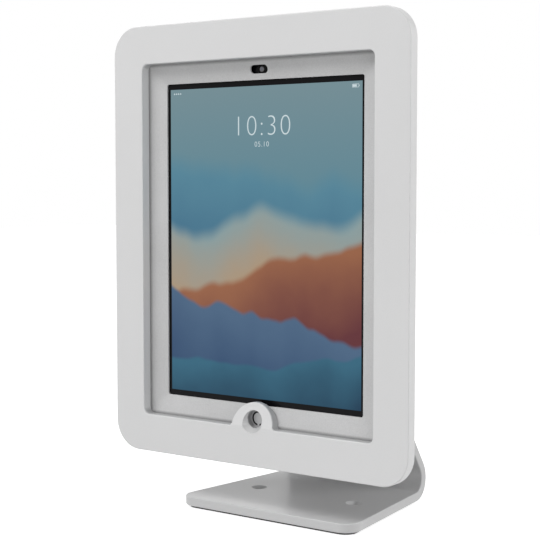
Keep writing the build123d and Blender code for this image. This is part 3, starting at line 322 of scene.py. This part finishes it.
# %% Head, glide ring and bushing
bushing_metal = coated("bushing_metal", (0.5, 0.36, 0.16), 0.15, 2400, 0.28, 0.2, 0.00001, Metallic=1.0)
glide_plastic = coated("glide_plastic", (0.06, 0.06, 0.065), 0.15, 1400, 0.4, 0.15, 0.00002)
dress(stand_coat, "head_plate")
dress(bushing_metal, "tilt_bushing", "tilt_friction_washers")
dress(glide_plastic, "glide_ring")

# %% [markdown]
# ## Rubber, foam and moulded plastic
# The pad under the base and the grommet are black rubber with a matt, dusty grain.
# Foam has open cells, so its grain is coarse and deep. The tray is moulded plastic.

# %% Soft and moulded parts
rubber = coated("rubber", (0.022, 0.022, 0.024), 0.35, 1600, 0.62, 0.2, 0.00004)
foam = coated("foam", (0.045, 0.045, 0.05), 0.5, 1300, 0.85, 0.1, 0.0003)
tray_plastic = coated("tray_plastic", (0.05, 0.05, 0.055), 0.15, 900, 0.45, 0.15, 0.00003)
dress(rubber, "base_pad", "cable_grommet", "cover_bumpers")
dress(foam, "back_pads")
dress(tray_plastic, "tablet_tray")

# %% [markdown]
# ## Inside the tablet
# The shell is blasted aluminium. The cells are wrapped in dull foil, and the board
# has green lacquer over copper lines. They show only when the tablet is opened,
# but each still gets the finish that it has.

# %% Shell, cells and board
shell_metal = coated("shell_metal", (0.36, 0.365, 0.38), 0.1, 3000, 0.34, 0.1, 0.00001, Metallic=0.9)
cell_foil = coated("cell_foil", (0.14, 0.14, 0.15), 0.2, 300, 0.3, 0.25, 0.00006, Metallic=0.4)
dress(shell_metal, "tablet_shell")
dress(cell_foil, "tablet_battery")

TRACK_DEPTH = 0.0001

board_lacquer, tree, shader = start_material("board_lacquer")
wiring = {"Vector": object_place(tree), "Scale": 160.0, "Mortar Size": 0.05}
tracks = add(tree, "ShaderNodeTexBrick", wiring)
tracks.inputs["Color1"].default_value = (0.01, 0.07, 0.035, 1)
tracks.inputs["Color2"].default_value = (0.012, 0.09, 0.05, 1)
tracks.inputs["Mortar"].default_value = (0.12, 0.2, 0.08, 1)
tree.links.new(tracks.outputs["Color"], shader.inputs["Base Color"])
shader.inputs["Roughness"].default_value = 0.3
bump(tree, shader, tracks.outputs["Fac"], TRACK_DEPTH)
dress(board_lacquer, "tablet_board")

# %% [markdown]
# ## The lit screen
# The display panel is bonded to the glass with no air between them, so the picture
# seems to lie in the glass face itself. It is therefore painted on the glass node as
# emitted colour under a glossy black base. The scene in the picture is made up:
# ridges of soft hills under a hazy sky. Each ridge is one use of the same group,
# which lays a colour ramp below a wavy line, over what lies behind it.

# %% Group for one ridge of hills
HAZE_DRIFT = 0.035

ridge_group, g_in, g_out = start_group(
    "ridge of hills",
    [
        ("Behind", "colour", (0, 0, 0, 1)),
        ("Crest", "colour", (1, 1, 1, 1)),
        ("Foot", "colour", (0, 0, 0, 1)),
        ("Level", "number", 0.0),
        ("Slope", "number", 0.0),
        ("Wave", "number", 0.02),
        ("Waves per metre", "number", 12.0),
        ("Seed", "number", 0.0),
        ("Softness", "number", 0.01),
        ("Fade", "number", 0.05),
    ],
    [("Colour", "colour")],
)
place = object_place(ridge_group)
split = add(ridge_group, "ShaderNodeSeparateXYZ", {0: place})
height = maths(ridge_group, "SUBTRACT", split.outputs["Z"], HEAD_Z)
along = maths(ridge_group, "MULTIPLY", split.outputs["X"], g_in.outputs["Waves per metre"])
along = maths(ridge_group, "ADD", along, g_in.outputs["Seed"])
skyline = {"W": along, "Scale": 1.0, "Detail": 2.5}
wavy = add(ridge_group, "ShaderNodeTexNoise", skyline, noise_dimensions="1D")
wave = maths(ridge_group, "MULTIPLY", centred(ridge_group, wavy), g_in.outputs["Wave"])
tilt = maths(ridge_group, "MULTIPLY", split.outputs["X"], g_in.outputs["Slope"])
crest = maths(ridge_group, "ADD", maths(ridge_group, "ADD", wave, tilt), g_in.outputs["Level"])
below = maths(ridge_group, "SUBTRACT", crest, height)
haze = add(ridge_group, "ShaderNodeTexNoise", {"Vector": place, "Scale": 22.0, "Detail": 3.0})
drift = maths(ridge_group, "MULTIPLY", centred(ridge_group, haze), HAZE_DRIFT)
faded = remap(ridge_group, maths(ridge_group, "ADD", below, drift), 0.0, g_in.outputs["Fade"])
hill = blend_colours(ridge_group, faded, g_in.outputs["Crest"], g_in.outputs["Foot"])
softness = g_in.outputs["Softness"]
edge = maths(ridge_group, "MULTIPLY", softness, -1.0)
cover = remap(ridge_group, below, edge, softness, interpolation_type="SMOOTHSTEP")
layered = blend_colours(ridge_group, cover, g_in.outputs["Behind"], hill)
ridge_group.links.new(layered, g_out.inputs["Colour"])
print("group:", ridge_group.name)

# %% Paint the picture on the glass
GLASS_FRONT_Y = FRONT_Y + 0.0113
PICTURE_HALF_WIDTH = 0.0738
PICTURE_HALF_HEIGHT = 0.0984
FACE_SLACK = 0.0001
GLASS_BLACK = (0.004, 0.004, 0.005, 1)
SKY = ((0.17, 0.26, 0.29), (0.10, 0.23, 0.29))
SKY_FOOT = 0.02
RIDGE_INPUTS = ("Level", "Slope", "Wave", "Waves per metre", "Seed", "Softness", "Fade")
RIDGES = (
    # crest, foot, and the ridge's inputs in their order
    ((0.09, 0.23, 0.31), (0.05, 0.15, 0.24), 0.045, -0.12, 0.05, 14, 3.1, 0.009, 0.06),
    ((0.24, 0.33, 0.34), (0.45, 0.27, 0.13), 0.012, 0.10, 0.05, 11, 7.7, 0.006, 0.055),
    ((0.30, 0.12, 0.06), (0.12, 0.03, 0.035), -0.018, 0.30, 0.04, 16, 1.4, 0.003, 0.05),
    ((0.07, 0.13, 0.22), (0.03, 0.07, 0.15), -0.046, -0.18, 0.035, 18, 9.2, 0.002, 0.05),
    ((0.035, 0.13, 0.2), (0.01, 0.04, 0.08), -0.074, 0.08, 0.03, 13, 5.5, 0.0015, 0.035),
)

screen_glass, tree, shader = start_material("screen_glass", Base_Color=GLASS_BLACK, Specular_IOR_Level=0.08)
place = object_place(tree)
split = add(tree, "ShaderNodeSeparateXYZ", {0: place})
height = maths(tree, "SUBTRACT", split.outputs["Z"], HEAD_Z)
sky = remap(tree, height, SKY_FOOT, PICTURE_HALF_HEIGHT)
colour = blend_colours(tree, sky, (*SKY[1], 1), (*SKY[0], 1))
for crest, foot, *shape in RIDGES:
    values = dict(zip(RIDGE_INPUTS, shape))
    values |= {"Behind": colour, "Crest": (*crest, 1), "Foot": (*foot, 1)}
    colour = use_group(tree, ridge_group, values).outputs["Colour"]

beside = maths(tree, "LESS_THAN", maths(tree, "ABSOLUTE", split.outputs["X"]), PICTURE_HALF_WIDTH)
within = maths(tree, "LESS_THAN", maths(tree, "ABSOLUTE", height), PICTURE_HALF_HEIGHT)
front = maths(tree, "LESS_THAN", split.outputs["Y"], GLASS_FRONT_Y + FACE_SLACK)
lit = maths(tree, "MULTIPLY", maths(tree, "MULTIPLY", beside, within), front)
picture = blend_colours(tree, lit, (0, 0, 0, 1), colour)
tree.links.new(picture, shader.inputs["Emission Color"])
shader.inputs["Emission Strength"].default_value = 1.0
smears = add(tree, "ShaderNodeTexNoise", {"Vector": place, "Scale": 30.0, "Detail": 4.0})
gloss = remap(tree, smears.outputs[0], 0.3, 0.8, low=0.04, high=0.12)
tree.links.new(gloss, shader.inputs["Roughness"])
dress(screen_glass, "tablet_glass")

panel_black = coated("panel_black", (0.008, 0.008, 0.01), 0.2, 600, 0.25, 0.1, 0.00001)
dress(panel_black, "display_panel")

# %% [markdown]
# ## The camera's lens
# Behind the slot in the mask sits a lens of a few millimetres. What makes a lens
# read as one is its rings: a black barrel, a dark blue coating and a small dark
# pupil. They are painted by distance from the lens's axis.

# %% Lens rings
LENS_Z = HEAD_Z + 0.1086
LENS_RADIUS = 0.002
LENS_RINGS = (
    # share of the radius, colour
    (0.3, (0.01, 0.03, 0.09, 1)),
    (0.55, (0.03, 0.02, 0.07, 1)),
    (0.75, (0.003, 0.003, 0.003, 1)),
)

lens_coat, tree, shader = start_material("lens_coat", IOR=1.7, Coat_Weight=1.0)
split = add(tree, "ShaderNodeSeparateXYZ", {0: object_place(tree)})
upward = maths(tree, "SUBTRACT", split.outputs["Z"], LENS_Z)
reach = maths(tree, "MULTIPLY", distance(tree, split.outputs["X"], upward), 1 / LENS_RADIUS)
rings = add(tree, "ShaderNodeValToRGB", {0: reach})
rings.color_ramp.interpolation = "EASE"
rings.color_ramp.elements[0].color = (0.002, 0.002, 0.004, 1)
rings.color_ramp.elements[1].color = (0.05, 0.05, 0.055, 1)
for position, colour in LENS_RINGS:
    rings.color_ramp.elements.new(position).color = colour
tree.links.new(rings.outputs[0], shader.inputs["Base Color"])
gloss = remap(tree, reach, 0.6, 0.9, low=0.03, high=0.3)
tree.links.new(gloss, shader.inputs["Roughness"])
dress(lens_coat, "tablet_camera")

# %% [markdown]
# ## The lock's tab
# The tab that carries the lock has a face that leans back towards the screen, and a
# low round top. The solid model has a flat and taller tab, so copies of four nodes
# are cut to the leaning shape and stand for them: the frame, the lock's barrel and
# core, and the mask behind. Blocks and cylinders do the cutting, and are deleted
# after use.

# %% Sizes of the window and the tab
WINDOW_HALF_WIDTH = 0.0888
WINDOW_HALF_HEIGHT = 0.1149
WINDOW_FOOT_Z = HEAD_Z - WINDOW_HALF_HEIGHT
TAB_Z = HEAD_Z - 0.11514
TAB_SHOULDER_Z = HEAD_Z - 0.1123
TAB_RADIUS = 0.01575
TAB_WIDTH = 0.04
TAB_LEAN = math.radians(17.6)
LEAN_START_Z = WINDOW_FOOT_Z + 0.0004
TOP_CUT_DEPTH = 0.012
print("tab leans back", round(math.degrees(TAB_LEAN), 1), "degrees")

# %% [markdown]
# Blocks and bars run past the piece that they cut. Most run well past it, and where
# that would reach something else, a short way. Faces that would lie in one plane are
# kept a hair apart, because a cut along a shared plane is unreliable.

# %% Tools for cutting
OVERRUN = 0.03
SHORT_OVERRUN = 0.005
BLOCK_REACH = 0.02
HAIR = 0.00003
BAR_SIDES = 160
UPRIGHT = (math.radians(90), 0, 0)


def make_active(piece):
    bpy.ops.object.select_all(action="DESELECT")
    piece.select_set(True)
    bpy.context.view_layer.objects.active = piece


def apply_place(piece):
    make_active(piece)
    bpy.ops.object.transform_apply(location=True, rotation=True, scale=True)
    return piece


def leaning_block(lean, foot_y, foot_z, width, near, far, start, end):
    """A block whose faces lie along and across a leaning line that starts at the foot."""
    middle = (near + far) / 2
    height = (start + end) / 2
    place = (
        0,
        foot_y + middle * math.cos(lean) + height * math.sin(lean),
        foot_z - middle * math.sin(lean) + height * math.cos(lean),
    )
    size = (width, far - near, end - start)
    bpy.ops.mesh.primitive_cube_add(size=1, location=place, rotation=(-lean, 0, 0), scale=size)
    return apply_place(bpy.context.object)


def round_bar(radius, z, near=-OVERRUN, far=OVERRUN):
    """A bar along the depth, between two depths behind the front face."""
    place = (0, FRONT_Y + (near + far) / 2, z)
    bpy.ops.mesh.primitive_cylinder_add(
        vertices=BAR_SIDES, radius=radius, depth=far - near, location=place, rotation=UPRIGHT
    )
    return apply_place(bpy.context.object)


def combine(tool, *pieces, operation="DIFFERENCE"):
    """Cuts the tool out of each piece, or adds it to them, and deletes it."""
    for piece in pieces:
        make_active(piece)
        bpy.ops.object.modifier_add(type="BOOLEAN")
        piece.modifiers[-1].operation = operation
        piece.modifiers[-1].object = tool
        bpy.ops.object.modifier_apply(modifier=piece.modifiers[-1].name)
        print(piece.name, operation.lower(), "faces:", len(piece.data.polygons))
    make_active(tool)
    bpy.ops.object.delete()


print("tools ready")


# %% Copies that stand for their nodes
MERGE_DISTANCE = 0.000001
SMOOTH_ANGLE = math.radians(30)


def copy_node(node_name, name):
    make_active(nodes[node_name])
    bpy.ops.object.duplicate()
    piece = bpy.context.object
    piece.name = name
    piece.data.name = name
    del piece["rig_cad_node"]
    bpy.ops.object.mode_set(mode="EDIT")
    bpy.ops.mesh.select_all(action="SELECT")
    bpy.ops.mesh.remove_doubles(threshold=MERGE_DISTANCE)
    bpy.ops.object.mode_set(mode="OBJECT")
    bpy.ops.mesh.customdata_custom_splitnormals_clear()
    return piece


def seat_copy(piece, node_name, body):
    make_active(piece)
    bpy.ops.object.shade_smooth_by_angle(angle=SMOOTH_ANGLE)
    bpy.ops.object.modifier_add(type="WEIGHTED_NORMAL")
    piece.modifiers[-1].keep_sharp = True
    bpy.ops.object.modifier_apply(modifier=piece.modifiers[-1].name)
    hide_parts(node_name)
    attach(piece, body)
    print(piece.name, "faces:", len(piece.data.polygons))


casting = copy_node("front_frame", "frame_casting")
mouth = copy_node("lock_sleeve", "lock_mouth")
core = copy_node("lock_plug", "lock_core")
pressing = copy_node("inner_mask", "mask_pressing")

# %% Lean the tab's face back and lower its top
face_block = leaning_block(TAB_LEAN, FRONT_Y, LEAN_START_Z, TAB_WIDTH, -BLOCK_REACH, 0, 0, OVERRUN)
combine(face_block, casting, mouth)
top_block = leaning_block(
    0, FRONT_Y, TAB_SHOULDER_Z, TAB_WIDTH, -SHORT_OVERRUN, TOP_CUT_DEPTH, 0, BLOCK_REACH
)
combine(round_bar(TAB_RADIUS, TAB_Z), top_block)
combine(top_block, casting)

# %% Close the mask up to the tab
MASK_DEPTH = 0.0066
MASK_FRONT_Y = FRONT_Y + MASK_DEPTH
MASK_FALL = 0.0035
MASK_REACH = 0.0129
MASK_LEAN = math.atan2(MASK_FALL, MASK_REACH)
MASK_SLOPE = math.hypot(MASK_FALL, MASK_REACH)
SHEET_WIDTH = 0.033
SHEET_THICKNESS = 0.0007
SHEET_START = 0.0002
SHEET_END_GAP = 0.00002
SHEET_END = MASK_SLOPE - SHEET_END_GAP
SHEET_UNDER_TAB = 0.0014

sheet = leaning_block(
    MASK_LEAN, MASK_FRONT_Y, WINDOW_FOOT_Z, SHEET_WIDTH, HAIR, SHEET_THICKNESS, SHEET_START, SHEET_END
)
combine(round_bar(TAB_RADIUS - SHEET_UNDER_TAB, TAB_Z), sheet)
combine(sheet, pressing, operation="UNION")

# %% Run the tab's wall back to the mask
WALL_END = 0.0079
WALL_INSET = 0.00004
WALL_THICKNESS = 0.00085
WALL_FOOT = 0.0001

wall = round_bar(TAB_RADIUS - WALL_INSET, TAB_Z, MASK_DEPTH, WALL_END)
combine(round_bar(TAB_RADIUS - WALL_THICKNESS, TAB_Z), wall)
behind_mask = leaning_block(
    MASK_LEAN, MASK_FRONT_Y, WINDOW_FOOT_Z, TAB_WIDTH, -HAIR, OVERRUN, -OVERRUN, OVERRUN
)
combine(behind_mask, wall)
below_window = leaning_block(
    0, FRONT_Y, WINDOW_FOOT_Z, TAB_WIDTH, -SHORT_OVERRUN, OVERRUN, -OVERRUN, WALL_FOOT
)
combine(below_window, wall)
combine(wall, casting, operation="UNION")

# %% Deepen the lock's core
MOUTH_RADIUS = 0.0057
MOUTH_START = 0.002
MOUTH_END = 0.0045
CORE_RADIUS = 0.0055
CORE_START = 0.001
CORE_FACE = 0.0076
GROOVE_OUTER = 0.0047
GROOVE_INNER = 0.0036
GROOVE_START = 0.007
GROOVE_END = 0.009
WEB_WIDTH = 0.0016
WEB_START = 0.006
WEB_END = 0.01
WEB_REACH = 0.006

combine(round_bar(MOUTH_RADIUS, LOCK_Z, MOUTH_START, MOUTH_END), mouth)
combine(round_bar(CORE_RADIUS, LOCK_Z, CORE_START, CORE_FACE), core)
groove = round_bar(GROOVE_OUTER, LOCK_Z, GROOVE_START, GROOVE_END)
combine(round_bar(GROOVE_INNER, LOCK_Z), groove)
web = leaning_block(0, FRONT_Y, LOCK_Z - WEB_REACH, WEB_WIDTH, WEB_START, WEB_END, 0, WEB_REACH)
combine(web, groove)
combine(groove, core)

# %% Seat the four pieces
seat_copy(casting, "front_frame", "front_cover")
seat_copy(mouth, "lock_sleeve", "front_cover")
seat_copy(core, "lock_plug", "lock_plug")
seat_copy(pressing, "inner_mask", "front_cover")

# %% [markdown]
# ## Painted shade in seams
# Shade that falls in seams and hollows is painted into the colour here. Each finish
# that needs it is multiplied by a darker share of itself, in a place that its own
# coordinates give: the rim of the mask, the walls of the window and the tab, the
# lock's mouth and the groove in its core.

# %% Paint shade into a finish in one place
def shade(material, dark, share_of):
    tree = material.node_tree
    base = tree.nodes["Principled BSDF"].inputs["Base Color"]
    unshaded_tone = base.links[0].from_socket if base.is_linked else tuple(base.default_value)
    split = add(tree, "ShaderNodeSeparateXYZ", {0: object_place(tree)})
    share = share_of(tree, split.outputs["X"], split.outputs["Y"], split.outputs["Z"])
    # The darker tone is painted shade, blended in by the share that the place gives.
    shaded_tone = blend_colours(tree, 1.0, unshaded_tone, (dark, dark, dark, 1), "MULTIPLY")
    tree.links.new(blend_colours(tree, share, unshaded_tone, shaded_tone), base)
    print(material.name, "shaded to", dark)


# %% Measures on the object
def rise(tree, value, start, end):
    return remap(tree, value, start, end, interpolation_type="SMOOTHSTEP")


def inside_window(tree, x, z):
    """How far a point lies inside the window's outline."""
    beside = maths(tree, "SUBTRACT", WINDOW_HALF_WIDTH, maths(tree, "ABSOLUTE", x))
    offset = maths(tree, "ABSOLUTE", maths(tree, "SUBTRACT", z, HEAD_Z))
    return maths(tree, "MINIMUM", beside, maths(tree, "SUBTRACT", WINDOW_HALF_HEIGHT, offset))


def behind_face(tree, y, z):
    """How far a point lies behind the frame's front, or behind the tab's leaning face."""
    climb = maths(tree, "MULTIPLY", maths(tree, "SUBTRACT", z, LEAN_START_Z), math.tan(TAB_LEAN))
    face = maths(tree, "ADD", maths(tree, "MAXIMUM", climb, 0.0), FRONT_Y)
    return maths(tree, "SUBTRACT", y, face)


print("measures ready")

# %% [markdown]
# Each place below is a share from none to one. Its pairs of lengths say where the
# shade starts and where it has risen fully, or fallen off.

# %% Places that are shaded
RIM_SHADE = (0.0002, 0.0024)
LEVEL_WALL_SHADE = (0.0005, 0.004)
WALL_DEPTH_SHADE = (0.0006, 0.0026)
TAB_WALL_SHADE = (0.0004, 0.0016)
MOUTH_SHADE = (0.00005, 0.0004)
TAB_ZONE_HALF_WIDTH = 0.0185
TAB_ZONE_TOP = -0.098
WINDOW_SLACK = 0.0004
SEAM = 0.00005


# Painted shade on the mask, darkest along its rim where it meets the frame's wall.
def mask_rim_painted_shade(tree, x, y, z):
    return maths(tree, "SUBTRACT", 1.0, rise(tree, inside_window(tree, x, z), *RIM_SHADE))


# Painted shade on the frame: the window's upper and lower walls deeper than their front edge, and the tab's
# wall behind its leaning face.
def window_wall_painted_shade(tree, x, y, z):
    offset = maths(tree, "SUBTRACT", z, HEAD_Z)
    to_wall = maths(tree, "SUBTRACT", WINDOW_HALF_HEIGHT, maths(tree, "ABSOLUTE", offset))
    level = maths(tree, "SUBTRACT", 1.0, rise(tree, to_wall, *LEVEL_WALL_SHADE))
    depth = rise(tree, maths(tree, "SUBTRACT", y, FRONT_Y), *WALL_DEPTH_SHADE)
    near = maths(tree, "LESS_THAN", maths(tree, "ABSOLUTE", x), TAB_ZONE_HALF_WIDTH)
    at_tab = maths(tree, "MULTIPLY", near, maths(tree, "LESS_THAN", offset, TAB_ZONE_TOP))
    tab = maths(tree, "MULTIPLY", at_tab, rise(tree, behind_face(tree, y, z), *TAB_WALL_SHADE))
    elsewhere = maths(tree, "SUBTRACT", 1.0, at_tab)
    plain = maths(tree, "MULTIPLY", maths(tree, "MULTIPLY", level, depth), elsewhere)
    inner = maths(tree, "GREATER_THAN", inside_window(tree, x, z), -WINDOW_SLACK)
    return maths(tree, "MULTIPLY", maths(tree, "MAXIMUM", tab, plain), inner)


# Painted shade inside the lock's mouth, behind the tab's leaning face.
def mouth_painted_shade(tree, x, y, z):
    return rise(tree, behind_face(tree, y, z), *MOUTH_SHADE)


# Painted shadow, nearly black, on the groove in the lock's core deeper than its face.
def keyway_painted_shadow(tree, x, y, z):
    radius = distance(tree, x, maths(tree, "SUBTRACT", z, LOCK_Z))
    outside = maths(tree, "GREATER_THAN", radius, GROOVE_INNER - SEAM)
    inside = maths(tree, "LESS_THAN", radius, GROOVE_OUTER + SEAM)
    deep = maths(tree, "GREATER_THAN", y, FRONT_Y + CORE_FACE + SEAM)
    return maths(tree, "MULTIPLY", maths(tree, "MULTIPLY", outside, inside), deep)


# The mouth gets its own copy of the frame's finish, so that its painted shade can differ from the frame's.
mouth_shaded_coat = coated("mouth_shaded_coat", *FRAME_FINISH, Coat_Weight=FRAME_GLAZE)
mouth.data.materials[0] = mouth_shaded_coat
shade(mask_coat, 0.45, mask_rim_painted_shade)
shade(frame_coat, 0.66, window_wall_painted_shade)
shade(mouth_shaded_coat, 0.8, mouth_painted_shade)
shade(plug_steel, 0.06, keyway_painted_shadow)

# %% [markdown]
# ## Marks on the screen
# The lit screen shows the time in thin digits, and small plain marks at its upper
# edge. Blender's own font gives round, even digits, and a negative offset thins
# their strokes. The text becomes a mesh, so that its place can be applied to it.

# %% Time on the screen
MARKS_Y = GLASS_FRONT_Y - 0.00006
DIGIT_SPACING = 1.12
DIGIT_CURVE_STEPS = 8
DIGIT_THICKNESS = 0.00001
TEXTS = (
    # name, digits, size, height above the head, change of the strokes' width
    ("screen_digits", "10:30", 0.0185, 0.073, -0.00045),
    ("screen_small_digits", "05.10", 0.0046, 0.0620, -0.00004),
)

mark_light, tree, shader = start_material("mark_light", Base_Color=(0, 0, 0, 1), Emission_Strength=1.0)
glow = add(tree, "ShaderNodeTexNoise", {"Vector": object_place(tree), "Scale": 40.0})
shine = blend_colours(tree, glow.outputs[0], (0.5, 0.6, 0.63, 1), (0.58, 0.67, 0.69, 1))
tree.links.new(shine, shader.inputs["Emission Color"])


def finish_piece(piece, name, material, body):
    piece.name = name
    piece.data.name = name
    piece.data.materials.clear()
    piece.data.materials.append(material)
    apply_place(piece)
    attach(piece, body)
    piece.select_set(False)
    print(name, "faces:", len(piece.data.polygons))


for name, words, size, up, offset in TEXTS:
    bpy.ops.object.text_add(location=(0, MARKS_Y, HEAD_Z + up), rotation=UPRIGHT)
    digits = bpy.context.object
    digits.data.body = words
    digits.data.size = size
    digits.data.align_x = "CENTER"
    digits.data.align_y = "CENTER"
    digits.data.offset = offset
    digits.data.space_character = DIGIT_SPACING
    digits.data.resolution_u = DIGIT_CURVE_STEPS
    digits.data.extrude = DIGIT_THICKNESS
    bpy.ops.object.convert(target="MESH")
    finish_piece(bpy.context.object, name, mark_light, "enclosure")

# %% Charge mark and signal dots
MARK_Z = HEAD_Z + 0.0956
MARK_THICKNESS = 0.00002
CHARGE_MARK = (
    # width, height, place along the screen, width of the rim
    (0.0046, 0.0021, 0.0690, 0.00025),
    (0.0028, 0.0013, 0.0684, None),
    (0.0003, 0.0010, 0.0716, None),
)
DOT_COUNT = 4
DOT_SIDES = 20
DOT_RADIUS = 0.0005
DOT_STEP = 0.0017
FIRST_DOT_X = -0.0705


def flat_plate(width, height, x, rim):
    bpy.ops.mesh.primitive_plane_add(size=1, location=(x, MARKS_Y, MARK_Z), rotation=UPRIGHT)
    plate = bpy.context.object
    plate.scale = (width, height, 1)
    bpy.ops.object.transform_apply(location=False, rotation=False, scale=True)
    if rim:
        bpy.ops.object.mode_set(mode="EDIT")
        bpy.ops.mesh.select_all(action="SELECT")
        bpy.ops.mesh.inset(thickness=rim)
        bpy.ops.mesh.delete(type="FACE")
        bpy.ops.object.mode_set(mode="OBJECT")
    return plate


def round_dot(x):
    place = (x, MARKS_Y, MARK_Z)
    bpy.ops.mesh.primitive_circle_add(
        vertices=DOT_SIDES, radius=DOT_RADIUS, fill_type="NGON", location=place, rotation=UPRIGHT
    )
    return bpy.context.object


marks = [flat_plate(*plate) for plate in CHARGE_MARK]
marks += [round_dot(FIRST_DOT_X + DOT_STEP * count) for count in range(DOT_COUNT)]
bpy.ops.object.select_all(action="DESELECT")
for mark in marks:
    mark.select_set(True)
bpy.context.view_layer.objects.active = marks[0]
bpy.ops.object.join()
bpy.ops.object.modifier_add(type="SOLIDIFY")
bpy.context.object.modifiers[0].thickness = MARK_THICKNESS
bpy.context.object.modifiers[0].offset = 0
bpy.ops.object.modifier_apply(modifier=bpy.context.object.modifiers[0].name)
finish_piece(bpy.context.object, "screen_marks", mark_light, "enclosure")

# %% [markdown]
# ## Floor
# The floor is a wide pale sheet. Lit by soft lamps alone it would turn out grey, and
# more light would bleach the stand, so the floor adds a share of its own light to
# what the camera sees. The shadow of the stand stays on it.

# %% Floor
FLOOR_SIZE = 8
FLOOR_Z = -0.0002
FLOOR_GLOW = 0.78

bpy.ops.mesh.primitive_plane_add(size=FLOOR_SIZE, location=(0, 0, FLOOR_Z))
floor = bpy.context.object
floor.name = "floor"
floor_white, tree, shader = start_material("floor_white", Base_Color=(0.7, 0.7, 0.7, 1), Roughness=0.7)
shader.inputs["Emission Color"].default_value = (1, 1, 1, 1)
glow = maths(tree, "MULTIPLY", seen_by_camera(tree), FLOOR_GLOW)
tree.links.new(glow, shader.inputs["Emission Strength"])
floor.data.materials.append(floor_white)
print("floor laid")

# %% [markdown]
# ## Light
# A studio picture of a grey product needs broad, soft light with one clear side.
# The main lamp hangs high at the left, so the window's upper and left walls fall
# into shade. A weaker one fills in from the right, and one behind lifts the back.

# %% Lamps and world
LAMP_AIM = (0, 0, 0.15)
WORLD_LIGHT = 0.27


def soft_lamp(name, place, size, power):
    turn = (Vector(LAMP_AIM) - Vector(place)).to_track_quat("-Z", "Y").to_euler()
    bpy.ops.object.light_add(type="AREA", location=place, rotation=turn)
    lamp = bpy.context.object
    lamp.name = name
    lamp.data.shape = "DISK"
    lamp.data.size = size
    lamp.data.energy = power
    print(name, "power", power)


soft_lamp("key_lamp", (-0.9, -1.5, 1.9), 1.1, 35)
soft_lamp("fill_lamp", (1.6, -1.0, 0.7), 1.4, 7)
soft_lamp("back_lamp", (1.4, 0.9, 0.8), 1.2, 11)

world = bpy.data.worlds.new("studio")
bpy.context.scene.world = world
world.use_nodes = True
tree = world.node_tree
background = tree.nodes["Background"]
background.inputs["Color"].default_value = (1, 1, 1, 1)
power = remap(tree, seen_by_camera(tree), 0.0, 1.0, low=WORLD_LIGHT, high=1.0)
tree.links.new(power, background.inputs["Strength"])
bpy.context.scene.view_settings.view_transform = "Standard"
print("world ready")
